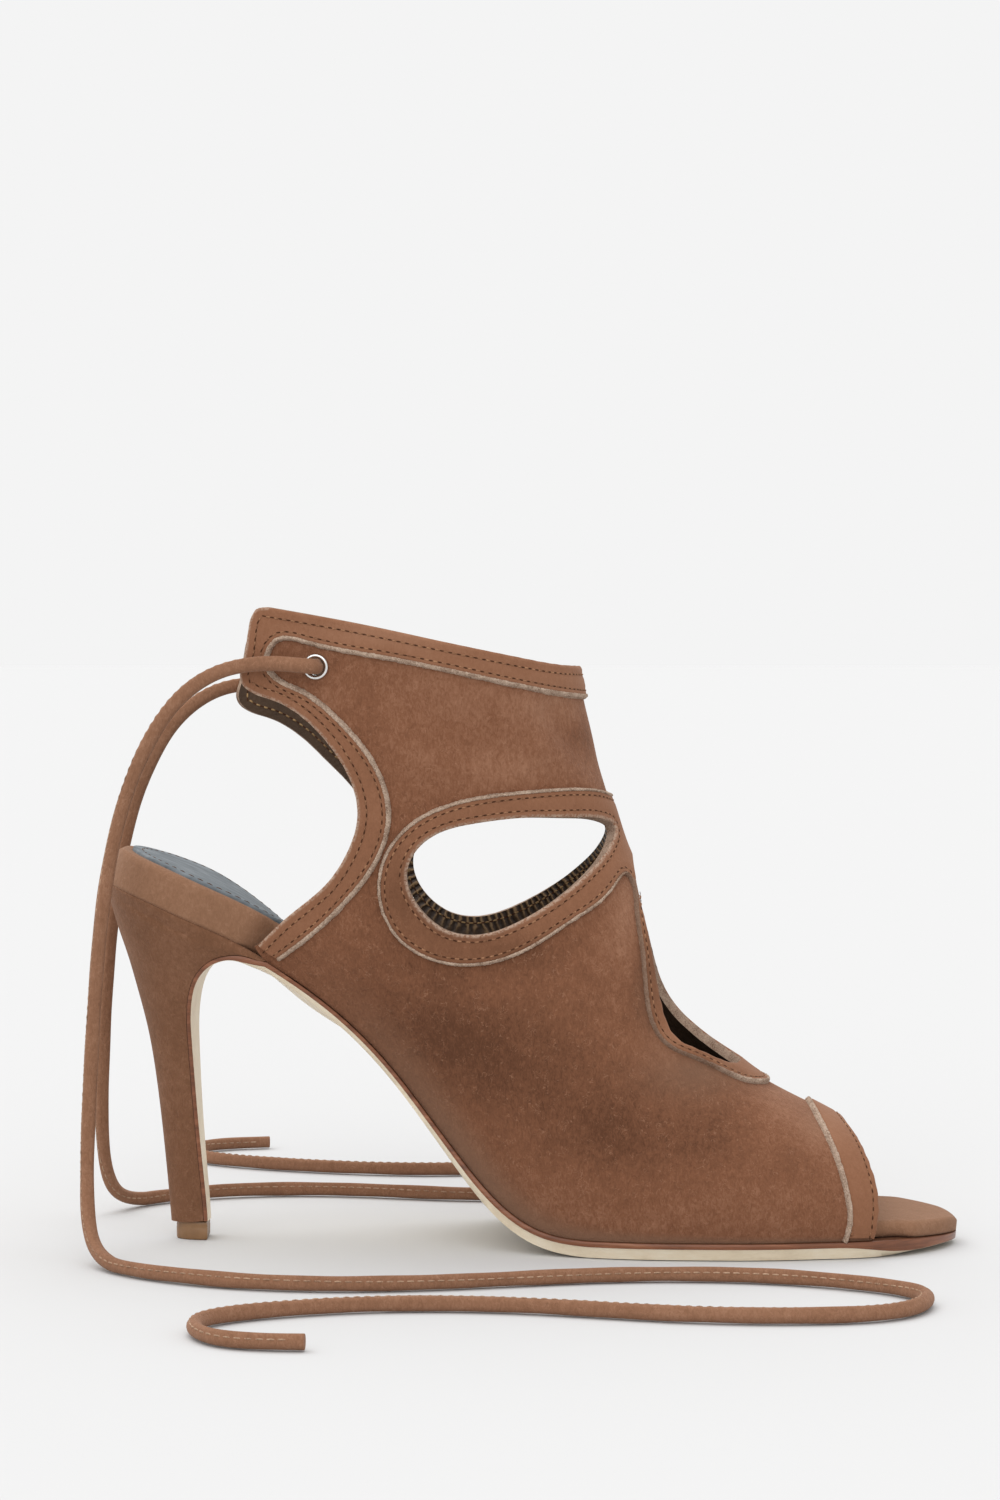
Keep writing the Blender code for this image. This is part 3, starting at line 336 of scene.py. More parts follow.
SEWN_DIP_REACH = 0.6
RAW_DIP_REACH = 0.5
ROW_KEPT = 0.93
ROW_GAP = 2.0
ROW_LEAST = 4
ROW_END = 0.2
BAND_SINK = 0.03
RAW_STEP = 0.35
RAW_PROFILE = (
    (-0.5, 0.8), (-0.3, 1.16), (0.1, 1.26), (0.5, 1.1), (0.8, 0.75), (0.98, 0.3), (1.0, -0.15),
)
RAW_WIDTHS = {"toe": 0.78, "collar": 0.86, "instep": 0.6}
WORN_REACH = 1.5
WORN_FULL = 0.8
RAW_FUZZ = 0.06
RAW_WANDER = 0.1
RAW_EASE = 9
RAW_SWAY = 0.6
RAW_THROAT = 0.4
RAW_SHARP = 80
PIECE_SHARP = 50

# Beside the throat the cut edge is thin and brown, between these places and below these heights.
BROWN_REAR_X = (20.5, 24.0)
BROWN_FRONT_X = (54.0, 44.0)
BROWN_TOP_Z = (98.0, 94.0)

# Other pieces.
PLEAT_REACH = 7.0
PLEAT_FULL = 1.0
WRAP_TUCK = 1.4
HEEL_TUCK = 0.7
HEEL_TUCK_ROWS = 0.55
WRAP_EDGE_SHARE = 0.45
WRAP_TUCK_SHARE = 0.2
WRAP_TUCK_DEPTH = 0.8
WRAP_TURN = 7
WRAP_INNER = (0.66, 0.33)
WRAP_STATIONS = 150
SOCK_STATIONS = 110
SOCK_ROW = 2.2
SOCK_PITCH = 2.6
SOCK_LONG = 0.72
SOCK_TURN = 0.5
SOCK_ROW_STATIONS = 160
SOCK_ROW_START = 0.5
SOCK_ROW_SHORT = 2.0
SOCK_ROW_SINK = 0.1
SOCK_END = 0.05
SOCK_SINK = 0.05
HEEL_RINGS = 90
TOE_BROWN_FROM = 76.0
TOE_BROWN_TO = 100.0
BREAST_BROWN = (SOLE_STATIONS - 6, SOLE_STATIONS + 8)
BEVEL_SHARES = (0.4, 0.6)
EDGE_STEP_SHARE = 0.15
EDGE_BAND_SHARE = 0.5
EDGE_BAND_FULL = 0.92
GROOVE_FADE = 0.85
# Faces along the sole's top, painted as shade where the upper meets it.
SHADED_GROOVE_FACES = 2
EDGE_FACES = 7
EYELET_TURNS = 40
EYELET_HOLE = 2.85
EYELET_HOLE_SIDES = 12
FLANGE_AT = (2.72, 0.5)
FLANGE_ROLL = (0.5, 0.46)
FLANGE_TURN = (-0.25 * math.pi, math.pi)
FLANGE_STEPS = 9
EYELET_BARREL = (
    (2.18, 0.2), (2.15, -2.2), (2.3, -2.6), (2.7, -2.72), (3.0, -2.4), (2.9, -2.05), (2.5, -1.9),
    (2.5, 0.1),
)
CORD_STEP = 1.5
CORD_SIDES = 20
CORD_ROUND = 1.78
CORD_PITCH = 2.4
CORD_LONG = 0.7
CORD_STITCH_RADIUS = 0.2
CORD_STITCH_RISE = 0.14
CORD_SUNK = 0.02
CORD_ROW = (6.0, 4.0)
CORD_FLOOR = 0.05
CORD_STITCH_FLOOR = 0.06
CORD_CLEAR = 0.1
LIP_HEIGHT = 0.3
LIP_REACH = 0.36
FURROW_DEPTH = 0.13
FURROW_AT = 0.75
FURROW_REACH = 0.2
SEAM_OFF = 0.62
SEAM_FACING = np.array((0.0, -0.75, 0.66))
SEAM_EASE = 8

# Slow waves along a cord, in its twist and its thickness: height, reach, start.
TWIST_WAVES = ((0.35, 61.0, 0.0), (0.2, 23.0, 1.0))
SWELL_WAVES = ((0.025, 7.0, 0.0), (0.02, 3.1, 2.0))

# The cords come out of their eyelets from inside the cuff.
TIE_LEADS = {
    "tie_inner": ((-53.4, -28.6, 147.0), (-53.4, -32.2, 147.0)),
    "tie_outer": ((-58.4, 27.8, 141.7), (-58.4, 31.3, 141.7)),
}

# Floor, light and camera, in metres and degrees.
FLOOR_REACH = 40.0
FLOOR_WHITE = 0.604
BACKDROP = 0.905
LIGHTS = (("top_light", 1.5, 70.0, (-18.0, -14.0, 0.0)), ("front_light", 0.9, 60.0, (52.0, -18.0, 0.0)))
CAMERA_LENS = 84.24
CAMERA_SENSOR = 36.0
CAMERA_AT = (-0.00795, -0.9, 0.1503)
CAMERA_DOWN = 1.575
CAMERA_FAR = 100.0

# Suedes: name, dark, middle and light tones, share of patches, share of nap.
FIBRE_WAY = (1.0, 1.0, 0.45)
SUEDES = (
    ("suede", (0.105, 0.043, 0.022), (0.203, 0.086, 0.045), (0.335, 0.172, 0.104), 0.24, 1.0),
    ("band_suede", (0.13, 0.056, 0.029), (0.235, 0.106, 0.057), (0.33, 0.168, 0.1), 0.18, 0.5),
    ("cover_suede", (0.11, 0.051, 0.026), (0.18, 0.084, 0.045), (0.29, 0.152, 0.092), 0.28, 0.9),
    ("wrap_suede", (0.155, 0.078, 0.043), (0.24, 0.124, 0.071), (0.36, 0.208, 0.134), 0.24, 0.7),
    ("cord_suede", (0.15, 0.07, 0.038), (0.25, 0.124, 0.071), (0.37, 0.205, 0.13), 0.22, 0.9),
)
# Grey of dust near the sole, also used as painted shade in the grey patches.
DUST_AND_SHADE_GREY = (0.20, 0.115, 0.074)
FRAYED = (0.43, 0.315, 0.24)


def column(columns, rows, name):
    """One named column of a table as an array."""
    place = columns.index(name)
    return np.array([row[place] for row in rows], float)


def spline(at, knots, values):
    """A natural cubic curve through values at rising knots, straight beyond its ends."""
    at = np.asarray(at, float)
    knots = np.asarray(knots, float)
    values = np.asarray(values, float)
    step = np.diff(knots)
    slope = np.diff(values) / step
    size = len(knots)
    system = np.eye(size)
    right = np.zeros(size)
    for i in range(1, size - 1):
        system[i, i - 1 : i + 2] = step[i - 1], 2 * (step[i - 1] + step[i]), step[i]
        right[i] = 6 * (slope[i] - slope[i - 1])
    bend = np.linalg.solve(system, right)
    inside = np.clip(at, knots[0], knots[-1])
    i = np.clip(np.searchsorted(knots, inside, side="right") - 1, 0, size - 2)
    after = inside - knots[i]
    first = slope[i] - step[i] * (2 * bend[i] + bend[i + 1]) / 6
    third = (bend[i + 1] - bend[i]) / (6 * step[i])
    read = values[i] + after * (first + after * (bend[i] / 2 + after * third))
    end_slope = first + after * (bend[i] + 3 * after * third)
    return read + (at - inside) * end_slope


def smooth_step(value, start, end):
    """0 at start and 1 at end, level at both."""
    share = np.clip((value - start) / (end - start), 0, 1)
    return share * share * (3 - 2 * share)


def unit(vectors):
    """The same directions with a length of 1."""
    return vectors / np.linalg.norm(vectors, axis=-1, keepdims=True)


def full_turn(count):
    """Angles round a circle, with the first not repeated."""
    return np.arange(count) * 2 * math.pi / count


def even_steps(start, end, step):
    """Places from start to end, about step apart."""
    return np.linspace(start, end, max(2, int(round((end - start) / step)) + 1))


def lengths_along(points):
    """How far along a line each of its points lies."""
    return np.concatenate([[0], np.cumsum(np.linalg.norm(np.diff(points, axis=0), axis=1))])


def read_along(where, along, values, reader=np.interp):
    """Rows of values known at places along a line, read at other places."""
    return np.stack([reader(where, along, part) for part in values.T], axis=1)


def curve_through(points, step):
    """Points about step apart on a smooth curve through the given points."""
    points = np.asarray(points, float)
    along = lengths_along(points)
    return read_along(even_steps(0, along[-1], step), along, points, spline)


def closed_curve_through(points, step):
    """As curve_through, for a closed outline, whose first point isn't repeated."""
    overlap = 3
    wrapped = np.concatenate([points[-overlap:], points, points[: overlap + 1]])
    along = lengths_along(wrapped)
    at = even_steps(along[overlap], along[overlap + len(points)], step)[:-1]
    return read_along(at, along, wrapped, spline)


def read_table(columns, rows, name, x):
    """A named column of a table at the places x along the shoe."""
    return spline(x, column(columns, rows, "x"), column(columns, rows, name))


def centre_y(x):
    return read_table(OUTLINE_COLUMNS, OUTLINE_ROWS, "centre_y", x)


def half_width(x, inset=0.0):
    """Half the sole's width at x, with a round heel and an almond toe, as if drawn in by an inset."""
    x = np.asarray(x, float)
    wide = read_table(OUTLINE_COLUMNS, OUTLINE_ROWS, "half_width", x)
    back = np.clip((HEEL_END_X + HEEL_ROUND - x) / (HEEL_ROUND - inset), 0, 1)
    front = np.clip((x - TOE_END_X + TOE_ROUND) / (TOE_ROUND - inset), 0, 1)
    return (wide - inset) * np.sqrt(1 - back**2) * (1 - front**2) ** (1 / TOE_POINT)


def feather_z(x):
    """Height of the feather line on the shoe's middle."""
    x = np.asarray(x, float)
    arch = read_table(FEATHER_COLUMNS, FEATHER_ROWS, "rise", x)
    spring = TOE_SPRING * (np.clip(x - TREAD_FRONT_X, 0, None) / (TOE_END_X - TREAD_FRONT_X)) ** 2
    return OUTSOLE_THICK + GAP + np.where(x < TREAD_REAR_X, arch, 0) + spring


def waist_roll(x):
    """How much higher the inner edge of the sole is than the outer one."""
    share = np.clip((np.asarray(x, float) - WAIST_ROLL_X) / WAIST_ROLL_REACH, -1, 1)
    return WAIST_ROLL * np.cos(share * math.pi / 2) ** 2


def feather_normal(x):
    """Unit vectors in side view, square to the feather line and upwards."""
    reach = 0.5
    slope = (feather_z(x + reach) - feather_z(x - reach)) / (2 * reach)
    size = np.sqrt(1 + slope**2)
    return -slope / size, 1 / size


def above_feather(x, y, height):
    """Points at a height over the underside of the footbed, at x along it and y across it."""
    x, y, height = np.broadcast_arrays(*(np.asarray(q, float) for q in (x, y, height)))
    across = (y - centre_y(x)) / np.maximum(half_width(x), 1.0)
    normal_x, normal_z = feather_normal(x)
    z = feather_z(x) - waist_roll(x) / 2 * np.clip(across, -1, 1)
    return np.stack([x + normal_x * height, y, z + normal_z * height], axis=-1)


def on_sole(x):
    """Half widths and heights of the upper's lower edges where they lie on the sole at x."""
    wide, middle = half_width(x) - UPPER_INSET, centre_y(x)
    level, roll = feather_z(x), waist_roll(x) / 2
    return {
        "inner_base": wide - middle,
        "outer_base": wide + middle,
        "inner_z": level + roll,
        "outer_z": level - roll,
    }


def section_table():
    """The columns of the upper's sections, with what follows from the sole filled in."""
    table = {name: [row[i] for row in SECTION_ROWS] for i, name in enumerate(SECTION_COLUMNS)}
    edges = []
    for x, z, half in zip(table["base_x"], table.pop("base_z"), table.pop("base_half")):
        free = {"inner_base": half, "outer_base": half, "inner_z": z, "outer_z": z}
        edges.append(on_sole(x) if z is None else free)
    for name in edges[0]:
        table[name] = [float(edge[name]) for edge in edges]
    return table


SECTIONS = section_table()
SECTION_COUNT = len(SECTION_ROWS)


def section(s):
    """Every column of the section table at the places s. Over the sole, the base follows the sole."""
    places = np.arange(SECTION_COUNT)
    row = {name: spline(s, places, values) for name, values in SECTIONS.items()}
    share = smooth_step(s, QUARTER_PLACE + QUARTER_BLEND, QUARTER_PLACE - QUARTER_BLEND)
    for name, values in on_sole(row["base_x"]).items():
        row[name] = row[name] + (values - row[name]) * share
    return row


def upper_point(s, v):
    """Points of the upper's outside. s runs from toe to collar, v from -1 inside to 1 outside."""
    s, v = np.broadcast_arrays(np.asarray(s, float), np.asarray(v, float))
    row = section(s)
    outer = v > 0
    away = np.abs(v)
    rise = (1 - np.clip(away / WIDEST_AT, 0, 1)) * math.pi / 2
    low = np.clip((away - WIDEST_AT) / (1 - WIDEST_AT), 0, None)
    above = row["widest"] + (1 - row["widest"]) * np.sin(rise)
    t = np.where(away <= WIDEST_AT, above, row["widest"] * (1 - low))
    wide = np.where(outer, row["outer"], -row["inner"])
    base = np.where(outer, row["outer_base"], -row["inner_base"])
    spread = np.sqrt(np.clip(1 - np.sin(rise) ** ROUNDNESS, 0, None))
    crown = row["ridge_y"] + (wide - row["ridge_y"]) * spread
    y = np.where(away <= WIDEST_AT, crown, wide + (base - wide) * low**2)
    base_z = np.where(outer, row["outer_z"], row["inner_z"])
    x = row["base_x"] + t * (row["ridge_x"] - row["base_x"])
    z = base_z + t * (row["ridge_z"] - base_z)
    return np.stack([x, y, z], axis=-1)


def surface_ways(s, v):
    """How points of the upper move along it and round it."""
    along = upper_point(s + SURFACE_STEP, v) - upper_point(s - SURFACE_STEP, v)
    around = upper_point(s, v + SURFACE_STEP) - upper_point(s, v - SURFACE_STEP)
    return along, around


def upper_normal(s, v):
    """Unit vectors square to the upper and outwards."""
    along, around = surface_ways(s, v)
    return unit(np.cross(around, along))


def side_to_surface(points, outer):
    """The (s, v) of points given in side view, on the outer or the inner side."""
    places = np.linspace(-PLACE_PAST, SECTION_COUNT - 1 + PLACE_PAST, PLACE_SAMPLES)
    row = section(places)
    base_z = row["outer_z"] if outer else row["inner_z"]
    run_x, run_z = row["ridge_x"] - row["base_x"], row["ridge_z"] - base_z
    found = []
    for x, z in points:
        cross = run_x * (z - base_z) - run_z * (x - row["base_x"])
        turns = np.flatnonzero(np.signbit(cross[:-1]) != np.signbit(cross[1:]))
        t = ((x - row["base_x"]) * run_x + (z - base_z) * run_z) / (run_x**2 + run_z**2)
        i = min(turns, key=lambda k: abs(t[k] - 0.5))
        share = cross[i] / (cross[i] - cross[i + 1])
        place = places[i] + share * (places[i + 1] - places[i])
        along = t[i] + share * (t[i + 1] - t[i])
        widest = row["widest"][i] + share * (row["widest"][i + 1] - row["widest"][i])
        if along >= widest:
            rise = math.asin(min(1.0, (along - widest) / (1 - widest)))
            away = WIDEST_AT * (1 - rise * 2 / math.pi)
        else:
            away = WIDEST_AT + (1 - WIDEST_AT) * (1 - along / widest)
        found.append((place, away if outer else -away))
    return np.array(found)


def on_side(points, outer):
    """Side view points with the outer flap's drop, for the outer side."""
    points = np.array(points, float)
    if outer:
        share = smooth_step(points[:, 1], *FLAP_HEIGHTS) * smooth_step(points[:, 0], *FLAP_PLACES)
        by_sole = smooth_step(points[:, 1], *SOLE_HEIGHTS)
        points[:, 1] -= FLAP_DROP * share + waist_roll(points[:, 0]) * by_sole
        points[:, 0] -= FLAP_BACK * share
    return points


def respace(line, step=EDGE_STEP):
    """The same line in (s, v), with its points about step apart on the upper."""
    along = lengths_along(upper_point(*line.T))
    return read_along(even_steps(0, along[-1], step), along, line)


def fine_points(*lines):
    """Close points on the upper along lines in (s, v)."""
    return np.concatenate([upper_point(*respace(line, LINE_STEP).T) for line in lines])


def fine_line(points, outer):
    """A smooth line through side view points, as close points in (s, v) on one side of the upper."""
    return side_to_surface(on_side(curve_through(points, FINE_STEP), outer), outer)


def rear_edges():
    """The edges of the open back, inner and outer."""
    return [respace(fine_line(REAR_EDGE, outer)) for outer in (False, True)]


def base_line(s_from, s_to, outer, away=1.0):
    """A line along the sole at a share of the way from the front profile to the feather line."""
    count = max(2, int(abs(s_to - s_from) / SECTION_STEP) + 1)
    s = np.linspace(s_from, s_to, count)
    return np.stack([s, np.full(count, away if outer else -away)], axis=1)


def both_sides(points):
    """A line from the inner side over the front to the outer side. Its side view ends on the front."""
    inner, outer = fine_line(points, False), fine_line(points, True)
    inner[-1, 1] = outer[-1, 1] = 0.0
    return np.concatenate([respace(inner)[:-1], respace(outer)[::-1]])


def cutout_loop(outer):
    loop = side_to_surface(on_side(closed_curve_through(SIDE_CUTOUT, FINE_STEP), outer), outer)
    return respace(np.concatenate([loop, loop[:1]]))[:-1]


def throat_loop():
    """The throat opening in (s, v), down its inner side and up its outer side."""
    way = dict(zip(THROAT_COLUMNS, curve_through(np.array(THROAT_ROWS), FINE_STEP).T))
    places = np.linspace(0, SECTION_COUNT - 1, PLACE_SAMPLES)
    s = np.interp(way["ridge_z"], section(places)["ridge_z"], places)
    row = section(s)
    loop = []
    for side, name in ((-1, "inner"), (1, "outer")):
        share = np.clip(way[name] * 2 / (row["inner"] + row["outer"]), 0, 1)
        rise = np.arcsin((1 - share**2) ** (1 / ROUNDNESS))
        line = np.stack([s, side * WIDEST_AT * (1 - rise * 2 / math.pi)], axis=1)
        loop.append(respace(line)[:-1] if side < 0 else respace(line)[:0:-1])
    return np.concatenate(loop)


def upper_outline():
    """The whole edge of the upper in (s, v): toe, sole, open back and collar."""
    toe = both_sides(TOE_EDGE)
    rear_inner, rear_outer = rear_edges()
    collar = both_sides(COLLAR_EDGE)
    inner_base = base_line(rear_inner[0, 0], toe[0, 0], False)
    outer_base = base_line(toe[-1, 0], rear_outer[0, 0], True)
    back_down = [rear_outer[1:-1], collar[::-1], rear_inner[-2:0:-1]]
    return np.concatenate([toe[:-1], outer_base, *back_down, inner_base[:-1]])


def eyelet_hole(outer):
    """A round hole in (s, v) for an eyelet."""
    turn = full_turn(EYELET_HOLE_SIDES)
    middle = on_side([EYELET_AT], outer)[0]
    ring = middle + EYELET_HOLE * np.stack([np.cos(turn), np.sin(turn)], axis=1)
    return side_to_surface(ring, outer)


def inside(points, loop):
    """Which of the points lie inside a closed loop, by counting the edges to one side."""
    low, high = loop.min(axis=0), loop.max(axis=0)
    near = np.flatnonzero(((points >= low) & (points <= high)).all(axis=1))
    ax, ay = loop[:, 0], loop[:, 1]
    bx, by = np.roll(ax, -1), np.roll(ay, -1)
    rise = np.where(by == ay, 1.0, by - ay)
    found = np.zeros(len(points), bool)
    for first in range(0, len(near), CHUNK):
        some = near[first : first + CHUNK]
        x, y = points[some, 0:1], points[some, 1:2]
        hits = ((ay > y) != (by > y)) & (x < (bx - ax) * (y - ay) / rise + ax)
        found[some] = hits.sum(axis=1) % 2 == 1
    return found


def within(points, outline, holes=()):
    """Which of the points lie inside an outline and outside its holes."""
    keep = inside(points, outline)
    for hole in holes:
        keep &= ~inside(points, hole)
    return keep


def fill_region(outline, holes, lines, extra):
    """Triangles in (s, v) that fill an outline round its holes, with edges along closed lines."""
    loops = [outline, *holes, *lines]
    scale = np.array([1 / SECTION_STEP, 1 / GIRTH_STEP])
    fixed = np.concatenate([*loops, extra]) * scale
    low, high = outline.min(axis=0), outline.max(axis=0)
    grid = []
    for i, s in enumerate(np.arange(low[0], high[0], SECTION_STEP)):
        shift = GIRTH_STEP / 2 * (i % 2)
        grid += [(s, v) for v in np.arange(low[1] - shift, high[1] + GIRTH_STEP, GIRTH_STEP)]
    grid = np.array(grid)
    grid = grid[within(grid, outline, holes)]
    one_more = ((0, 0), (0, 1))
    distance, _ = distance_to(np.pad(grid * scale, one_more), np.pad(fixed, one_more))
    grid = grid[distance > GRID_CLEAR]
    points = [Vector(p) for p in np.concatenate([fixed, grid * scale])]
    edges, first = [], 0
    for loop in loops:
        size = len(loop)
        edges += [(first + i, first + (i + 1) % size) for i in range(size)]
        first += size
    made = geometry.delaunay_2d_cdt(points, edges, [], 0, SAME_POINT)
    places = np.array([tuple(p) for p in made[0]]) / scale
    faces = np.array(made[2])
    return part_of((places, faces[:, ::-1]), outline, holes)


def part_of(region, outline, holes=()):
    """The triangles of a region that lie inside an outline and outside its holes."""
    places, faces = region
    kept = faces[within(places[faces].mean(axis=1), outline, holes)]
    used, renumbered = np.unique(kept, return_inverse=True)
    return places[used], renumbered.reshape(kept.shape)


def end_spaced(start, end, count):
    """Places from start to end, closer together towards both ends."""
    turn = np.linspace(0, math.pi, count)
    return start + (end - start) * (1 - np.cos(turn)) / 2


def upper_share(x):
    """1 where the upper wraps the footbed, 0 at the bare seat and the bare toe."""
    return smooth_step(x, *SEAT_CLEAR_X) * smooth_step(x, *TOE_CLEAR_X)


def footbed_thickness(x):
    """Thickness along the shoe, with both ends rounded over."""
    from_end = np.minimum(x - HEEL_END_X, (TOE_END_X - x) * FOOTBED_ROUND / TOE_TIP_ROUND)
    over = np.clip(1 - from_end / FOOTBED_ROUND, 0, 1)
    full = FOOTBED_TOE + (FOOTBED_HEEL - FOOTBED_TOE) * smooth_step(x, *FOOTBED_TAPER_X)
    return full - FOOTBED_ROUND * (1 - np.sqrt(1 - over**2))


def footbed_half(x):
    """Half the footbed's width: clear of the upper's wall, full at the seat and the toe."""
    clear = UPPER_INSET + UPPER_WALL + FOOTBED_GAPS * GAP
    return half_width(x) - clear * upper_share(x)


def heel_at(u):
    """The columns of the heel table at row place u, by name."""
    places = np.arange(len(HEEL_ROWS))
    return {name: spline(u, places, column(HEEL_COLUMNS, HEEL_ROWS, name)) for name in HEEL_COLUMNS}


def d_ring(back_x, back_z, front_x, front_z, half, squareness):
    """A D-shaped ring, from its front's inner corner round the back to the outer corner."""
    turn = np.linspace(-math.pi / 2, math.pi / 2, HEEL_RING)
    back = np.cos(turn)
    across = np.sign(turn) * np.sqrt(np.clip(1 - back**squareness, 0, 1))
    x = front_x + back * (back_x - front_x)
    z = front_z + back * (back_z - front_z)
    return np.stack([x, across * half, z], axis=-1)


def outsole_thickness(x):
    toe = smooth_step(x, TOE_END_X, TREAD_FRONT_X)
    waist = smooth_step(x, TREAD_REAR_X, WAIST_THIN_X)
    return TOE_THICK + (OUTSOLE_THICK - TOE_THICK) * toe - (OUTSOLE_THICK - WAIST_THICK) * waist


def outsole_stations():
    """The outsole's way as arrays: under the toe, tread and arch, then down the breast of the heel."""
    toe = TOE_END_X - END_CLEAR
    tread = end_spaced(toe, 2 * SEAT_FRONT_X - toe, 2 * SOLE_STATIONS - 1)[:SOLE_STATIONS]
    heel = heel_at(HEEL_PLACES[HEEL_PLACES > BREAST_FROM])
    down = np.arange(1, len(heel["front_x"]) + 1)
    fade = 1 - smooth_step(down, 0, BREAST_FADE)
    breast = BREAST_THICK + (WAIST_THICK - BREAST_THICK) * fade
    return {
        "x": np.concatenate([tread, heel["front_x"]]),
        "z": np.concatenate([feather_z(tread), heel["front_z"]]),
        "half": np.concatenate([half_width(tread) + SOLE_MARGIN, heel["half_width"] + BREAST_MARGIN]),
        "middle": np.concatenate([centre_y(tread), centre_y(heel["front_x"]) * fade]),
        "thick": np.concatenate([outsole_thickness(tread), breast]),
        "roll": waist_roll(np.concatenate([tread, heel["front_x"]])),
    }


def toe_trim_outline():
    edge, line = both_sides(TOE_EDGE), both_sides(TOE_TRIM_LINE)
    outer_base = base_line(edge[-1, 0], line[-1, 0], True, TRIM_BASE)[1:-1]
    inner_base = base_line(line[0, 0], edge[0, 0], False, TRIM_BASE)[1:-1]
    return np.concatenate([edge, outer_base, line[::-1], inner_base])


def collar_trim_outline():
    rear_inner, rear_outer = rear_edges()
    edge, line = both_sides(COLLAR_EDGE), both_sides(COLLAR_TRIM_LINE)
    return np.concatenate([rear_inner[:-1], edge, rear_outer[-2::-1], line[::-1]])


def instep_trim_outline():
    inner, outer = fine_line(CUTOUT_TRIM_LINE, False), fine_line(CUTOUT_TRIM_LINE, True)
    inner[[0, -1], 1] = outer[[0, -1], 1] = 0.0
    return np.concatenate([respace(inner), respace(outer)[-2:0:-1]])


def relief(s, v):
    """Height of the creases over the plain surface of the upper."""
    at = upper_point(s, v)
    x, z = at[..., 0], at[..., 2]
    raised = np.zeros(x.shape)
    for start, end, reach, height, side in CREASES:
        way = np.subtract(end, start)
        share = np.clip(((x - start[0]) * way[0] + (z - start[1]) * way[1]) / (way @ way), 0, 1)
        away = np.hypot(x - start[0] - share * way[0], z - start[1] - share * way[1])
        on_this_side = smooth_step(v * side, *CREASE_SIDE)
        raised += height * np.exp(-((away / reach) ** 2)) * on_this_side
    return raised * smooth_step(np.abs(v), *CREASE_BASE)


def place(s, v, height=0.0):
    """Points at a height over the creased upper."""
    return upper_point(s, v) + (relief(s, v) + height)[..., None] * upper_normal(s, v)


def patches_at(points, patches):
    """The strength of soft patches, below or above 0, at points of the upper."""
    total = np.zeros(len(points))
    for x, z, reach_x, reach_z, strength in patches:
        away = ((points[:, 0] - x) / reach_x) ** 2 + ((points[:, 2] - z) / reach_z) ** 2
        total += strength * np.exp(-away)
    return total


def across_line(line, distance):
    """A line moved sideways over the upper by a distance, to its left where that is above 0."""
    s, v = line.T
    along_s, along_v = (way / (2 * SURFACE_STEP) for way in surface_ways(s, v))
    way = np.gradient(upper_point(s, v), axis=0)
    aside = np.cross(upper_normal(s, v), way)
    aside *= distance / np.linalg.norm(aside, axis=1, keepdims=True)
    ss, sv, vv = (along_s**2).sum(1), (along_s * along_v).sum(1), (along_v**2).sum(1)
    fs, fv = (along_s * aside).sum(1), (along_v * aside).sum(1)
    size = ss * vv - sv**2
    return line + np.stack([(fs * vv - fv * sv) / size, (fv * ss - fs * sv) / size], axis=1)


def distance_to(points, line):
    """How far points are from the nearest point of a close line, and which point that is."""
    tree = KDTree(len(line))
    for i, p in enumerate(line):
        tree.insert(p, i)
    tree.balance()
    found = [tree.find(p) for p in points]
    return np.array([f[2] for f in found]), np.array([f[1] for f in found])


def row_beside(line, distance, band, holes):
    """The line's copy at a distance inside a band, cut where it leaves the band or bunches up."""
    fine = respace(line, LINE_STEP)
    edge = upper_point(*fine.T)
    best = []
    for side in (-1, 1):
        row = across_line(fine, side * distance)
        far, _ = distance_to(upper_point(*row.T), edge)
        keep = within(row, band, holes) & (far > ROW_KEPT * distance)
        if keep.sum() > len(best):
            best = row[keep]
    return np.asarray(best)


def pieces_of(row):
    """A row split where its points are further apart than a gap."""
    cuts = np.flatnonzero(np.diff(lengths_along(upper_point(*row.T))) > ROW_GAP) + 1
    return [part for part in np.split(row, cuts) if len(part) > ROW_LEAST]


def add_piece(name, points, faces, materials, slot, replaced=(), kinds=None, angle=PIECE_SHARP):
    """A mesh piece of the shoe from points in millimetres, riding on the one body."""
    mesh = bpy.data.meshes.new(name)
    mesh.from_pydata((np.asarray(points, float) * MM).tolist(), [], [list(map(int, f)) for f in faces])
    for finish in materials:
        mesh.materials.append(finish)
    if kinds is not None:
        mesh.polygons.foreach_set("material_index", np.asarray(kinds, np.int32))
    mesh.update()
    mesh.shade_smooth()
    mesh.set_sharp_from_angle(angle=math.radians(angle))
    obj = bpy.data.objects.new(name, mesh)
    bpy.context.scene.collection.objects.link(obj)
    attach(obj, "root")
    if replaced:
        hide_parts(*replaced)
    return obj


def solid_piece(*parts, **settings):
    """As add_piece, for a closed piece, with its faces turned outwards."""
    obj = add_piece(*parts, **settings)
    sides = bmesh.new()
    sides.from_mesh(obj.data)
    bmesh.ops.recalc_face_normals(sides, faces=sides.faces)
    sides.to_mesh(obj.data)
    sides.free()
    return obj


def paint(obj, name, values):
    """A number at each vertex of a piece, for its material."""
    layer = obj.data.attributes.new(name, "FLOAT", "POINT")
    layer.data.foreach_set("value", np.asarray(values, np.float32))


def sheet(region, top, bottom):
    """Points, faces and face kinds (0 top, 1 bottom, 2 rim) of a closed sheet over triangles."""
    places, faces = region
    count = len(places)
    points = np.concatenate([place(*places.T, height) for height in (top, bottom)])
    directed = np.concatenate([faces[:, [0, 1]], faces[:, [1, 2]], faces[:, [2, 0]]])
    known = {(a, b) for a, b in directed.tolist()}
    rim = [(b, a, a + count, b + count) for a, b in directed.tolist() if (b, a) not in known]
    all_faces = faces.tolist() + (faces[:, ::-1] + count).tolist() + rim
    kinds = [0] * len(faces) + [1] * len(faces) + [2] * len(rim)
    return points, all_faces, kinds


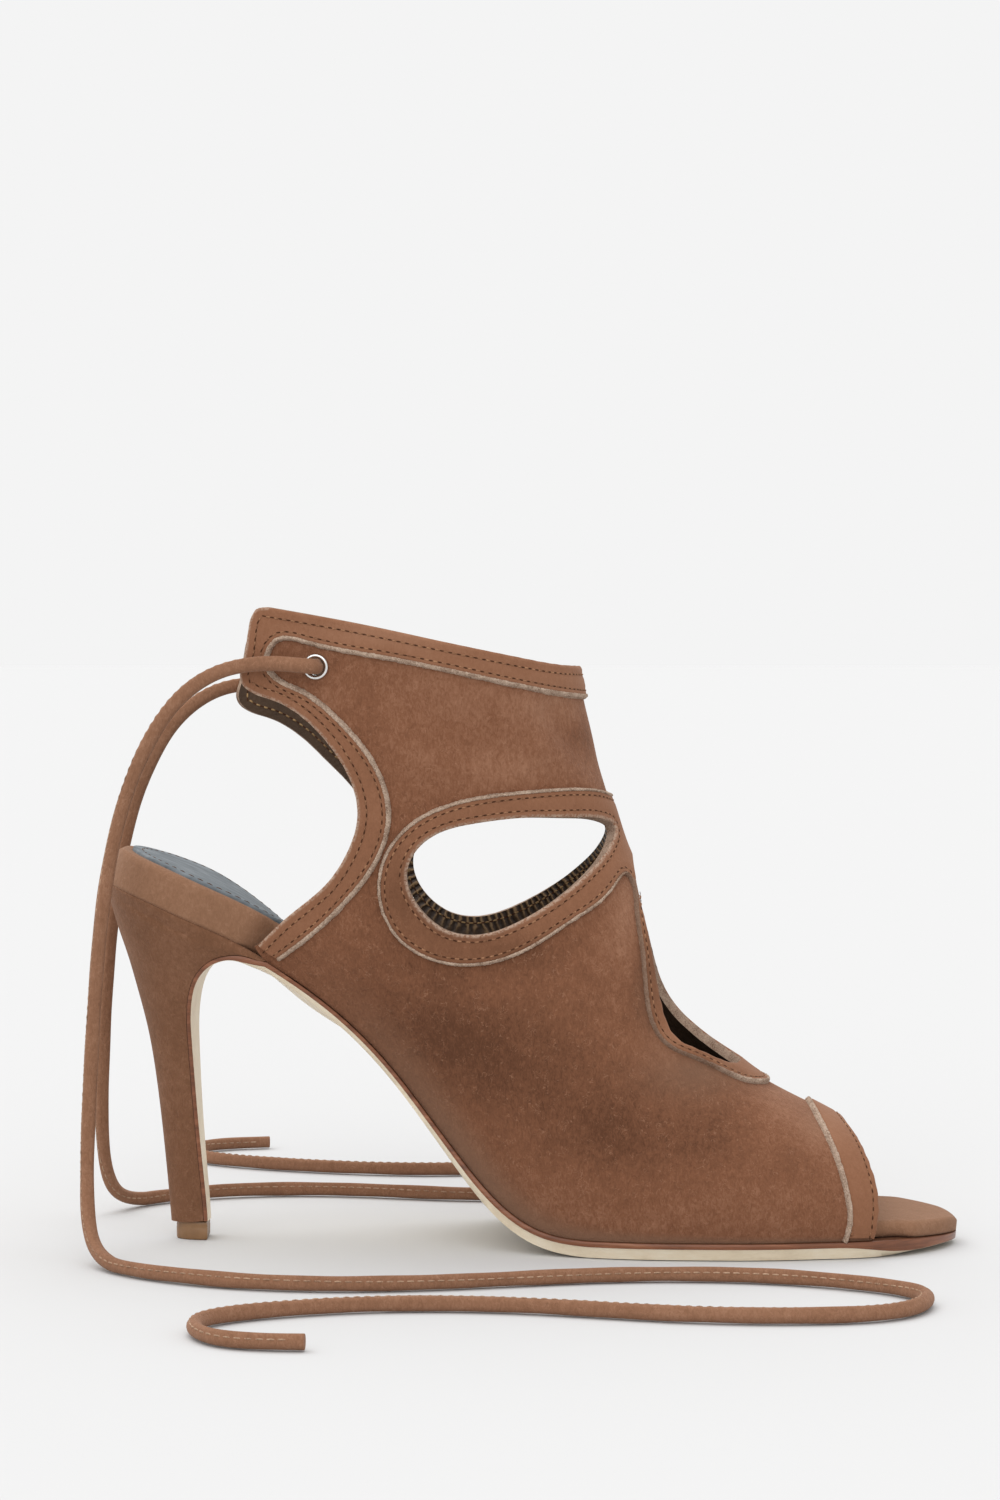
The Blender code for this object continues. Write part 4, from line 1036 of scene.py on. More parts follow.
class Finish:
    """A procedural material and short ways to add its nodes."""

    def __init__(self, name, roughness, **settings):
        self.material = bpy.data.materials.new(name)
        self.material.use_nodes = True
        self.tree = self.material.node_tree
        self.shader = self.tree.nodes["Principled BSDF"]
        self.shader.inputs["Roughness"].default_value = roughness
        for socket, value in settings.items():
            self.shader.inputs[socket.replace("_", " ")].default_value = value
        self.place = self.add("ShaderNodeTexCoord").outputs["Object"]

    def add(self, kind, links=None, **settings):
        node = self.tree.nodes.new(kind)
        for name, value in settings.items():
            setattr(node, name, value)
        for socket, value in (links or {}).items():
            if isinstance(value, bpy.types.NodeSocket):
                self.tree.links.new(value, node.inputs[socket])
            else:
                node.inputs[socket].default_value = value
        return node

    def maths(self, operation, a, b=0.0):
        return self.add("ShaderNodeMath", {0: a, 1: b}, operation=operation).outputs[0]

    def stretched(self, x, y, z):
        return self.add("ShaderNodeMapping", {"Vector": self.place, "Scale": (x, y, z)}).outputs[0]

    def noise(self, scale, detail=3.0, rough=0.55, warp=0.0, place=None):
        links = {"Vector": place or self.place, "Scale": scale, "Detail": detail}
        links.update({"Roughness": rough, "Distortion": warp})
        return self.add("ShaderNodeTexNoise", links).outputs["Fac"]

    def number(self, name):
        return self.add("ShaderNodeAttribute", attribute_name=name).outputs["Fac"]

    def between(self, value, low, high):
        """0 up to low, 1 from high on."""
        links = {"Value": value, "From Min": low, "From Max": high}
        return self.add("ShaderNodeMapRange", links, interpolation_type="SMOOTHSTEP").outputs[0]

    def total(self, *shares):
        """Fields times their shares, added up."""
        result, *others = [self.maths("MULTIPLY", field, share) for field, share in shares]
        for other in others:
            result = self.maths("ADD", result, other)
        return result

    def mixed(self, share, a, b):
        """From the colour field a to the plain colour b."""
        links = {0: share, 6: a, 7: (*b, 1.0)}
        return self.add("ShaderNodeMix", links, data_type="RGBA").outputs[2]

    def ramp(self, value, *stops):
        node = self.add("ShaderNodeValToRGB", {"Fac": value})
        ramp = node.color_ramp
        while len(ramp.elements) < len(stops):
            ramp.elements.new(0.5)
        for element, (at, colour) in zip(ramp.elements, stops):
            element.position = at
            element.color = (*colour, 1.0)
        return node.outputs["Color"]

    def bump(self, height, strength, distance):
        links = {"Height": height, "Strength": strength, "Distance": distance}
        return self.add("ShaderNodeBump", links).outputs["Normal"]

    def done(self, colour, normal=None, roughness=None):
        self.tree.links.new(colour, self.shader.inputs["Base Color"])
        if normal is not None:
            self.tree.links.new(normal, self.shader.inputs["Normal"])
        if roughness is not None:
            self.tree.links.new(roughness, self.shader.inputs["Roughness"])
        return self.material


def suede(name, dark, middle, light, patchy, nappy):
    """Napped leather: brushed patches, mottling, short fibres, pale wisps, dust, fraying, painted shade and
    light.
    """
    f = Finish(name, 0.92, Sheen_Weight=0.13, Sheen_Roughness=0.45, Specular_IOR_Level=0.12)
    f.shader.inputs["Sheen Tint"].default_value = (0.95, 0.75, 0.62, 1.0)
    patches = f.noise(46.0, 3.0, 0.6, 0.6)
    mottle = f.noise(210.0, 4.0, 0.65, 0.5)
    grain = f.noise(620.0, 3.0, 0.65, 0.9)
    fibre = f.noise(1150.0, 3.0, 0.7, 1.4, f.stretched(*FIBRE_WAY))
    shares = ((patches, patchy), (mottle, 0.2 * nappy), (grain, 0.26 * nappy), (fibre, 0.6 * nappy))
    fields = [(f.maths("SUBTRACT", field, 0.5), share) for field, share in shares]
    # Tone raised or lowered by the nap patches, which are partly painted shade and painted light.
    tone = f.maths("ADD", f.total((f.number("nap_and_shading"), 0.36), *fields), 0.5)
    colour = f.ramp(tone, (0.18, dark), (0.5, middle), (0.84, light))
    bend = f.maths("ABSOLUTE", f.maths("SUBTRACT", f.noise(640.0, 1.0, 0.5, 1.2), 0.5))
    wisp = f.maths("MULTIPLY", f.between(bend, 0.035, 0.0), f.between(f.noise(430.0, 2.0), 0.5, 0.62))
    colour = f.mixed(f.maths("MULTIPLY", wisp, 0.5 * nappy), colour, light)
    # Greyer with dust near the sole, and with painted shade in the grey patches by the throat and the
    # bands.
    colour = f.mixed(f.number("dust_and_shade"), colour, DUST_AND_SHADE_GREY)
    frayed = f.maths("MULTIPLY", f.number("worn"), f.between(f.noise(1500.0, 3.0, 0.7), 0.35, 0.6))
    colour = f.mixed(frayed, colour, FRAYED)
    height = f.maths("ADD", fibre, f.maths("ADD", grain, f.maths("MULTIPLY", mottle, 0.6)))
    return f.done(colour, f.bump(height, 0.5 * nappy, 0.0005))


def raw_leather(name, dark, light):
    """The pale fibrous cut edge of the bands."""
    f = Finish(name, 0.95, Specular_IOR_Level=0.1)
    fuzz = f.noise(2600.0, 4.0, 0.75, 0.8)
    lumps = f.noise(300.0, 3.0, 0.6)
    tone = f.total((fuzz, 0.7), (lumps, 0.3))
    colour = f.ramp(tone, (0.38, dark), (0.58, light))
    colour = f.mixed(f.maths("MULTIPLY", f.number("brown"), 0.7), colour, (0.17, 0.09, 0.055))
    return f.done(colour, f.bump(tone, 0.7, 0.0005))


def lining_leather():
    """Dark lining with a fine grain, gathered into pleats round the cut-outs, their crests painted as gold
    highlights.
    """
    f = Finish("lining_leather", 0.5, Specular_IOR_Level=0.4)
    grain = f.noise(1300.0, 3.0, 0.6)
    folds = f.noise(190.0, 3.0, 0.6)
    turn = f.maths("ADD", f.number("pleat_along"), f.maths("MULTIPLY", folds, 3.0))
    wave = f.maths("SINE", f.maths("MULTIPLY", turn, 3.4))
    pleat = f.maths("MULTIPLY", wave, f.number("pleat_share"))
    height = f.total((pleat, 0.5), (grain, 0.35))
    cloud = f.maths("ADD", f.maths("MULTIPLY", folds, 0.4), 0.3)
    # Pleat crests painted lighter up to gold, as painted highlights, and the folds between them darker, as
    # painted shade.
    tone = f.maths("ADD", f.maths("MULTIPLY", pleat, 0.3), cloud)
    browns = ((0.3, (0.032, 0.017, 0.009)), (0.58, (0.08, 0.044, 0.023)), (0.78, (0.32, 0.2, 0.1)))
    colour = f.ramp(tone, *browns)
    return f.done(colour, f.bump(height, 0.7, 0.0008))


def thread(name, dark, light):
    f = Finish(name, 0.75, Specular_IOR_Level=0.2)
    twist = f.noise(2600.0, 2.0, 0.5)
    along = f.noise(160.0, 2.0, 0.5)
    tone = f.total((twist, 0.5), (along, 0.5))
    return f.done(f.ramp(tone, (0.35, dark), (0.65, light)), f.bump(twist, 0.5, 0.0002))


def sock_leather():
    f = Finish("sock_leather", 0.6, Specular_IOR_Level=0.2)
    streak = f.noise(260.0, 4.0, 0.65, 0.2, f.stretched(0.22, 1.0, 1.0))
    grain = f.noise(1500.0, 2.0, 0.6)
    greys = ((0.3, (0.085, 0.1, 0.112)), (0.5, (0.15, 0.172, 0.188)), (0.75, (0.24, 0.262, 0.278)))
    colour = f.ramp(streak, *greys)
    return f.done(colour, f.bump(f.maths("ADD", streak, grain), 0.25, 0.0004))


def edge_dressing():
    """The waxed brown edge of the sole."""
    f = Finish("edge_dressing", 0.36, Coat_Weight=0.12, Coat_Roughness=0.2, Specular_IOR_Level=0.35)
    streak = f.noise(240.0, 4.0, 0.65, 0.3, f.stretched(0.25, 0.25, 2.4))
    browns = ((0.3, (0.11, 0.039, 0.018)), (0.52, (0.205, 0.074, 0.034)), (0.75, (0.33, 0.14, 0.07)))
    colour = f.ramp(streak, *browns)
    return f.done(colour, f.bump(streak, 0.25, 0.0003))


def sole_leather():
    """Cream sole leather with a fine fibre and faint handling marks."""
    f = Finish("sole_leather", 0.5, Coat_Weight=0.1, Coat_Roughness=0.35)
    marks = f.noise(70.0, 4.0, 0.6, 0.4)
    fibre = f.noise(900.0, 3.0, 0.65, 0.4, f.stretched(0.3, 1.0, 1.0))
    tone = f.total((marks, 0.6), (fibre, 0.4))
    creams = ((0.3, (0.68, 0.56, 0.4)), (0.5, (0.8, 0.69, 0.52)), (0.72, (0.86, 0.78, 0.63)))
    colour = f.ramp(tone, *creams)
    return f.done(colour, f.bump(fibre, 0.2, 0.0003))


def tip_plastic():
    f = Finish("tip_plastic", 0.42, Coat_Weight=0.08)
    cloud = f.noise(150.0, 3.0, 0.6)
    scuff = f.noise(900.0, 3.0, 0.6, 0.3, f.stretched(1.0, 1.0, 0.2))
    colour = f.ramp(cloud, (0.3, (0.17, 0.082, 0.03)), (0.7, (0.265, 0.14, 0.06)))
    return f.done(colour, f.bump(scuff, 0.2, 0.0002), f.between(scuff, -0.3, 1.4))


def eyelet_metal():
    f = Finish("eyelet_metal", 0.18, Metallic=1.0)
    wear = f.noise(700.0, 3.0, 0.6)
    colour = f.ramp(wear, (0.3, (0.66, 0.66, 0.65)), (0.7, (0.83, 0.83, 0.82)))
    return f.done(colour, f.bump(wear, 0.08, 0.0002), f.between(wear, -0.2, 2.6))


# A dark finish, used for painted shade in the needle holes and in the sole's groove.
def painted_shade_finish(name, dark, light):
    f = Finish(name, 0.9, Specular_IOR_Level=0.1)
    tone = f.noise(900.0, 2.0, 0.5)
    return f.done(f.ramp(tone, (0.3, dark), (0.7, light)))


SUEDE, BAND_SUEDE, COVER_SUEDE, WRAP_SUEDE, CORD_SUEDE = (suede(*row) for row in SUEDES)
RAW = raw_leather("raw_edge", (0.19, 0.114, 0.076), (0.54, 0.41, 0.315))
RIM = raw_leather("cut_rim", (0.15, 0.085, 0.055), (0.41, 0.295, 0.22))
LINING = lining_leather()
TAN_THREAD = thread("tan_thread", (0.15, 0.064, 0.032), (0.37, 0.19, 0.1))
CORD_THREAD = thread("cord_thread", (0.2, 0.11, 0.065), (0.5, 0.33, 0.22))
GOLD_THREAD = thread("gold_thread", (0.17, 0.09, 0.04), (0.44, 0.28, 0.13))
BROWN_THREAD = thread("brown_thread", (0.05, 0.028, 0.018), (0.13, 0.075, 0.05))
# Painted shade in the needle holes between stitches.
HOLE_SHADE = painted_shade_finish("needle_hole", (0.045, 0.018, 0.009), (0.085, 0.036, 0.019))
# Painted shade along the sole's top, where the upper meets it.
GROOVE_SHADE = painted_shade_finish("sole_groove_shade", (0.07, 0.028, 0.014), (0.12, 0.05, 0.026))
SOCK = sock_leather()
EDGE = edge_dressing()
SOLE = sole_leather()
TIP = tip_plastic()
METAL = eyelet_metal()


def repeated(shapes, faces):
    """Points and faces of like shapes, from the faces of one."""
    size = shapes.shape[1]
    all_faces = [tuple(n + size * j for n in face) for j in range(len(shapes)) for face in faces]
    return shapes.reshape(-1, 3), all_faces


def stitches(starts, ends, normals, radius=STITCH_RADIUS, rise=STITCH_RISE):
    """Points and faces of short threads from starts to ends, arched away along the normals."""
    along, thick = np.array(STITCH_SHAPE).T
    way = ends - starts
    across = unit(np.cross(normals, way))
    arch = rise * (1 - (2 * along - 1) ** 2) - STITCH_BITE
    middle = starts[:, None] + way[:, None] * along[:, None] + normals[:, None] * arch[:, None]
    turn = full_turn(STITCH_SIDES)[:, None]
    flat = np.cos(turn) * across[:, None, None] * STITCH_WIDE
    high = np.sin(turn) * normals[:, None, None] * STITCH_HIGH
    threads = middle[:, :, None] + (flat + high) * (thick * radius)[:, None, None]
    return repeated(threads.reshape(len(starts), -1, 3), ring_loft(threads[0])[1])


def needle_hole_shades(at, normals, ways):
    """Points and faces of small dark slots along a row, as flat lenses of painted shade in the needle
    holes.
    """
    across = unit(np.cross(normals, ways))
    ahead = np.cross(across, normals)
    turn = full_turn(HOLE_SIDES)[:, None]
    ring = HOLE_WIDE * np.cos(turn) * across[:, None] + HOLE_LONG * np.sin(turn) * ahead[:, None]
    middle, up = at[:, None], normals[:, None]
    lenses = np.concatenate([middle + ring, middle + up * HOLE_TOP, middle - up * HOLE_DEEP], axis=1)
    sides = [(k, (k + 1) % HOLE_SIDES) for k in range(HOLE_SIDES)]
    faces = [(a, b, HOLE_SIDES) for a, b in sides] + [(b, a, HOLE_SIDES + 1) for a, b in sides]
    return repeated(lenses, faces)


def along_row(row):
    """The (s, v) of the starts and ends of stitches along a row."""
    at = lengths_along(upper_point(*row.T))
    count = max(1, int((at[-1] - 2 * ROW_END) / STITCH_PITCH))
    starts = ROW_END + np.arange(count) * STITCH_PITCH
    return read_along(starts, at, row), read_along(starts + STITCH_LONG, at, row)


def merge(parts):
    """Several (points, faces) as one."""
    points, faces, first = [], [], 0
    for part_points, part_faces in parts:
        points.append(part_points)
        faces += [tuple(n + first for n in face) for face in part_faces]
        first += len(part_points)
    return np.concatenate(points), faces


def ring_loft(rings, closed_ends=True):
    """Points and faces through closed rings, each end closed by one face."""
    rings = np.asarray(rings, float)
    count, size = rings.shape[:2]
    faces = []
    for i in range(count - 1):
        for k in range(size):
            after = (k + 1) % size
            faces.append((i * size + k, i * size + after, (i + 1) * size + after, (i + 1) * size + k))
    if closed_ends:
        faces.append(tuple(range(size))[::-1])
        faces.append(tuple(range((count - 1) * size, count * size)))
    return rings.reshape(-1, 3), faces


def make_upper():
    """The suede shell with its lining, the bands laid over it, their raw edges and their stitching."""
    outline = upper_outline()
    windows = [cutout_loop(False), cutout_loop(True), throat_loop()]
    holes = [*windows, eyelet_hole(False), eyelet_hole(True)]
    trims = {"toe": toe_trim_outline(), "collar": collar_trim_outline(), "instep": instep_trim_outline()}
    rear = rear_edges()
    *closed, instep_raw = [np.concatenate([loop, loop[:1]]) for loop in (*windows, trims["instep"])]
    sewn = {"toe": [both_sides(TOE_EDGE)], "collar": [*rear, both_sides(COLLAR_EDGE)], "instep": closed[:2]}
    edges = {**sewn, "instep": closed}
    frayed = {"toe": [], "collar": rear, "instep": closed[:2]}
    raws = {"toe": both_sides(TOE_TRIM_LINE), "collar": both_sides(COLLAR_TRIM_LINE), "instep": instep_raw}
    extra = []
    for name in trims:
        rows = [(line, distance) for line in (*edges[name], raws[name]) for distance in ROLL_ROWS]
        rows += [(line, EDGE_ROWS[name]) for line in sewn[name]]
        rows.append((raws[name], RAW_ROW))
        extra += [row_beside(line, distance, trims[name], windows) for line, distance in rows]
    region = fill_region(outline, holes, list(trims.values()), np.concatenate(extra))
    points, faces, kinds = sheet(region, 0.0, -UPPER_WALL)
    shell = add_piece("upper_shell", points, faces, [SUEDE, LINING, RIM], "suede", ["upper"], kinds)
    paint_upper(shell, region, closed[:2])
    thread_parts, hole_shade_parts, lining_parts, raw_parts = [], [], [], []
    for name, trim in trims.items():
        band = make_band(name, part_of(region, trim, windows), edges[name], sewn[name], raws[name])
        paint_worn(band, frayed[name])
        for line in sewn[name]:
            row = row_beside(line, EDGE_ROWS[name], trim, windows)
            sew(row, BAND_TOP - STITCH_SINK, 1, thread_parts, hole_shade_parts)
            sew(row, -UPPER_WALL - LINING_SINK, -1, lining_parts, hole_shade_parts)
        if name != "toe":
            row = row_beside(raws[name], RAW_ROW, trim, windows)
            sew(row, BAND_TOP - STITCH_SINK, 1, thread_parts, hole_shade_parts)
        raw_parts.append(raw_ribbon(raws[name], trim, windows, name == "instep", RAW_WIDTHS[name]))
    add_piece("band_stitches", *merge(thread_parts), [TAN_THREAD], "trim")
    add_piece("needle_hole_shades", *merge(hole_shade_parts), [HOLE_SHADE], "trim")
    add_piece("lining_stitches", *merge(lining_parts), [GOLD_THREAD], "trim")
    raw_points, raw_faces = merge(raw_parts)
    fuzzy = solid_piece("raw_edges", raw_points, raw_faces, [RAW], "trim", angle=RAW_SHARP)
    paint(fuzzy, "brown", by_throat(raw_points))


def paint_upper(shell, region, loops):
    """Nap and dust with their painted shade and light, and the gathers of the lining round the cut-outs."""
    s, v = region[0].T
    points = upper_point(s, v)
    # Nap patches: brushed nap, partly painted shade and painted light.
    nap_and_shading = patches_at(points, NAP_AND_SHADING_PATCHES)
    by_sole = smooth_step(np.abs(v), *SOLE_DUST_FROM) * smooth_step(points[:, 0], *SOLE_DUST_X)
    # Dust near the sole, plus grey patches of painted shade.
    dust_and_shade = SOLE_DUST * by_sole + patches_at(points, GREY_SHADE_PATCHES)
    along, share = np.zeros(len(s)), np.zeros(len(s))
    for loop in loops:
        far, nearest = distance_to(points, fine_points(loop))
        near = far < PLEAT_REACH
        along[near] = nearest[near] * LINE_STEP
        share[near] = smooth_step(far[near], PLEAT_REACH, PLEAT_FULL)
    for name, values in (("nap_and_shading", nap_and_shading), ("dust_and_shade", dust_and_shade), ("pleat_along", along), ("pleat_share", share)):
        paint(shell, name, np.concatenate([values, values]))


def make_band(name, region, edge_lines, sewn_lines, raw_line):
    """A band with rounded edges, drawn in along its stitch rows."""
    points = upper_point(*region[0].T)
    groups = (edge_lines, sewn_lines, [raw_line])
    from_edge, from_sewn, from_raw = (distance_to(points, fine_points(*lines))[0] for lines in groups)
    near = np.minimum(from_edge, from_raw)
    rolled = np.sqrt(1 - (1 - np.clip(near / BAND_ROLL, 0, 1)) ** 2)
    top = BAND_EDGE + (BAND_TOP - BAND_EDGE) * rolled
    top -= ROW_DIP * np.exp(-(((from_sewn - EDGE_ROWS[name]) / SEWN_DIP_REACH) ** 2))
    if name != "toe":
        top -= ROW_DIP * np.exp(-(((from_raw - RAW_ROW) / RAW_DIP_REACH) ** 2))
    points, faces, kinds = sheet(region, top, -BAND_SINK)
    kinds = [1 if kind == 2 else 0 for kind in kinds]
    band = add_piece("band_" + name, points, faces, [BAND_SUEDE, RIM], "trim", ["trim_" + name], kinds)
    # The same nap patches as on the shell, partly painted shade and painted light.
    nap_and_shading = patches_at(points[: len(top)], NAP_AND_SHADING_PATCHES)
    paint(band, "nap_and_shading", np.concatenate([nap_and_shading, nap_and_shading]))
    return band


def paint_worn(band, lines):
    """Frayed nap on a band's points close to the given cut edges."""
    points = np.array([vertex.co for vertex in band.data.vertices]) / MM
    worn = np.zeros(len(points))
    for line in lines:
        far, _ = distance_to(points, place(*respace(line, LINE_STEP).T))
        worn = np.maximum(worn, smooth_step(far, WORN_REACH, WORN_FULL))
    paint(band, "worn", worn)


def sew(row, height, side, threads, hole_shades):
    """Stitches along a row on the upper's outside (side 1) or its lining (side -1), with painted shade in
    their holes.
    """
    for part in pieces_of(row):
        starts, ends = along_row(part)
        normals = side * upper_normal(*((starts + ends) / 2).T)
        first, last = place(*starts.T, height), place(*ends.T, height)
        threads.append(stitches(first, last, normals))
        share = (STITCH_PITCH - STITCH_LONG) / 2 / STITCH_LONG
        sunk = first + (first - last) * share + normals * HOLE_RISE
        hole_shades.append(needle_hole_shades(sunk, normals, last - first))


def by_throat(points):
    """1 beside the throat, where the cut edge is thin and brown, 0 elsewhere."""
    x, z = points[:, 0], points[:, 2]
    lengthways = smooth_step(x, *BROWN_REAR_X) * smooth_step(x, *BROWN_FRONT_X)
    return lengthways * smooth_step(z, *BROWN_TOP_Z)


def raw_ribbon(line, band, holes, is_loop, width):
    """The fuzzy cut edge along a band's line, on the side away from the band."""
    fine = respace(line, RAW_STEP)
    left = within(across_line(fine, 1.0), band, holes).mean() > 0.5
    s, v = fine.T
    way = np.gradient(upper_point(s, v), axis=0)
    if is_loop:
        way[0] = way[-1] = way[0] + way[-1]
    normal = upper_normal(s, v)
    away = unit(np.cross(normal, way) * (-1 if left else 1))
    base = place(s, v)
    width = width * (1 - RAW_THROAT * by_throat(base))
    random = np.random.default_rng(len(fine))
    fuzz = random.normal(0, RAW_FUZZ, (len(fine), len(RAW_PROFILE), 2))
    sway = random.normal(0, RAW_WANDER, len(fine) + RAW_EASE - 1)
    sway = RAW_SWAY * np.convolve(sway, np.ones(RAW_EASE) / math.sqrt(RAW_EASE), "valid")
    rings = []
    for i, (across, height) in enumerate(RAW_PROFILE):
        out = (across + sway * (across > 0)) * width + fuzz[:, i, 0]
        up = height + fuzz[:, i, 1] * (height > 0)
        rings.append(base + away * out[:, None] + normal * up[:, None])
    rings = np.stack(rings, axis=1)
    if is_loop:
        rings[-1] = rings[0]
    return ring_loft(rings, not is_loop)


def footbed_profile(half, thick):
    """Half of the wrapped board's section from its underside round to the middle of its top."""
    edge = min(FOOTBED_ROUND, WRAP_EDGE_SHARE * half)
    tuck = min(WRAP_TUCK, WRAP_TUCK_SHARE * half, WRAP_TUCK_DEPTH * (thick - FOOTBED_ROUND))
    turn = np.linspace(0, math.pi / 2, WRAP_TURN)
    bottom = [(half - tuck * (1 - math.sin(a)), tuck * (1 - math.cos(a))) for a in turn]
    top = [(half - edge * (1 - math.cos(a)), thick - FOOTBED_ROUND * (1 - math.sin(a))) for a in turn]
    inner = [((half - edge) * share, thick) for share in WRAP_INNER]
    return bottom + top + inner


def board_ring(x, right, top, low):
    """A ring across the shoe at x, from half of its section over the feather line."""
    profile = right + [(0.0, top)] + [(-y, height) for y, height in right[::-1]] + [(0.0, low)]
    y, height = np.array(profile, float).T
    return above_feather(x, centre_y(x) + y, height)


def make_footbed():
    rings = []
    for x in end_spaced(HEEL_END_X + END_CLEAR, TOE_END_X - END_CLEAR, WRAP_STATIONS):
        thick = footbed_thickness(x)
        rings.append(board_ring(x, footbed_profile(footbed_half(x), thick), thick, 0.0))
    solid_piece("footbed_wrap", *ring_loft(rings), [WRAP_SUEDE], "suede", ["footbed"])


def sock_half(x, inset=0.0):
    return min(half_width(x, SOCK_INSET + inset), footbed_half(x) - FOOTBED_ROUND - inset)


def sock_top(x):
    return footbed_thickness(x) + GAP + SOCK_THICK


def make_sock():
    """The thin sock, its edge turned down, sewn near its edge."""
    start = HEEL_END_X + SOCK_INSET
    rings = []
    for x in end_spaced(start + SOCK_END, SOCK_FRONT_X, SOCK_STATIONS):
        half, high, low = sock_half(x), sock_top(x), footbed_thickness(x) - SOCK_SINK
        turned = min(SOCK_TURN, 0.3 * half)
        right = [
            (half, low),
            (half, high - 0.45),
            (half - 0.3 * turned, high - 0.15),
            (half - turned, high),
            (max(half - 1.7, 0.75 * half), high - 0.14),
            (max(half - 2.6, 0.6 * half), high),
            (0.3 * half, high),
        ]
        rings.append(board_ring(x, right, high, low))
    solid_piece("sock_lining", *ring_loft(rings), [SOCK], "sock", ["insole_sock"])
    row_x = end_spaced(start + SOCK_ROW, SOCK_FRONT_X - SOCK_ROW_SHORT, SOCK_ROW_STATIONS)
    route = [(x, sock_half(x, SOCK_ROW)) for x in row_x]
    path = [(x, -y) for x, y in route[::-1]] + route
    row = np.array([above_feather(x, centre_y(x) + y, sock_top(x) - SOCK_ROW_SINK) for x, y in path])
    at = lengths_along(row)
    begin = np.arange(SOCK_ROW_START, at[-1] - SOCK_PITCH, SOCK_PITCH)
    first, last = (read_along(where, at, row) for where in (begin, begin + SOCK_LONG * SOCK_PITCH))
    normal_x, normal_z = feather_normal(first[:, 0])
    normals = np.stack([normal_x, 0 * normal_x, normal_z], axis=1)
    add_piece("sock_stitches", *stitches(first, last, normals), [BROWN_THREAD], "sock")


def make_heel():
    """The covered heel, from under the seat to the tip."""
    seat = d_ring(*heel_at(0.0).values())
    side = np.sign(seat[:, 1]) * np.maximum(half_width(seat[:, 0]), SEAT_LEAST)
    seat[:, 1] = np.where(side == 0, 0, side + centre_y(seat[:, 0]))
    seat[:, 2] = above_feather(seat[:, 0], seat[:, 1], HEEL_JOIN)[:, 2]
    rings = []
    for u in np.linspace(0, len(HEEL_ROWS) - 1, HEEL_RINGS):
        row = heel_at(u)
        ring = d_ring(*row.values())
        ring[:, 2] -= waist_roll(ring[:, 0]) / 2 * ring[:, 1] / row["half_width"]
        ring[:, 1:] += (seat - ring)[:, 1:] * smooth_step(u, 1.0, 0.0)
        drawn = HEEL_TUCK * (1 - math.sqrt(1 - max(0.0, 1 - u / HEEL_TUCK_ROWS) ** 2))
        middle = np.array((row["front_x"], centre_y(row["front_x"])))
        out = ring[:, :2] - middle
        ring[:, :2] -= out * (drawn / np.maximum(np.linalg.norm(out, axis=1), 1.0))[:, None]
        rings.append(ring)
    solid_piece("heel_cover", *ring_loft(rings), [COVER_SUEDE], "suede", ["heel"])


def make_heel_tip():
    """The top-piece: a moulded block with a soft lower edge and a fine parting line."""
    rings = []
    for z, inset in TIP_RINGS:
        back, front, half = TIP_BACK_X + inset, TIP_FRONT_X - inset, TIP_HALF - inset
        rings.append(d_ring(back, z, front, z, half, TIP_SQUARENESS))
    solid_piece("heel_top_piece", *ring_loft(rings), [TIP], "tip", ["heel_tip"])


def make_outsole():
    """The sole: brown dressed edge, cream bevel and underside, on down the breast of the heel."""
    way = outsole_stations()
    run_x, run_z = np.gradient(way["x"]), np.gradient(way["z"])
    size = np.hypot(run_x, run_z)
    rings = []
    for i, (x, z, half, middle, thick, roll) in enumerate(zip(*way.values())):
        down_x, down_z = -run_z[i] / size[i], run_x[i] / size[i]
        bevel = min(SOLE_BEVEL, BEVEL_SHARES[0] * half, BEVEL_SHARES[1] * thick)
        step = min(SOLE_EDGE_STEP, EDGE_STEP_SHARE * half)
        toe = smooth_step(x, TOE_BROWN_FROM, TOE_BROWN_TO)
        breast = smooth_step(i, *BREAST_BROWN)
        band = min(SOLE_EDGE_BAND, EDGE_BAND_SHARE * thick)
        band += (EDGE_BAND_FULL * thick - band) * max(toe, breast)
        groove = SOLE_GROOVE * (1 - GROOVE_FADE * breast)
        right = [
            (0.0, 0.0),
            (half - 0.7, 0.0),
            (half - 0.6, groove),
            (half - 0.12, groove + 0.04),
            (half, groove + 0.22),
            (half, band - 0.2),
            (half - 0.12, band),
            (half - step, band + 0.02),
            (half - step - 0.1, band + 0.12),
            (half - bevel, thick),
            (half - bevel - 0.12 * half, thick),
        ]
        profile = right + [(0.0, thick)] + [(-y, depth) for y, depth in right[:0:-1]]
        ring = []
        for y, depth in profile:
            sunk = depth + SOLE_JOIN
            height = z + down_z * sunk - roll / 2 * y / half
            ring.append((x + down_x * sunk, middle + y, max(height, 0.0)))
        rings.append(ring)
    points, faces = ring_loft(rings)
    from_top = [min(k, len(rings[0]) - 1 - k) for k in range(len(rings[0]))]
    # The top faces and the first slope of the groove are painted shade where the upper meets the sole.
    kinds = [2 if k < SHADED_GROOVE_FACES else 1 if k < EDGE_FACES else 0 for k in from_top]
    kinds = kinds * (len(rings) - 1) + [1, 0]
    solid_piece("sole_unit", points, faces, [SOLE, EDGE, GROOVE_SHADE], "sole", ["outsole"], kinds)


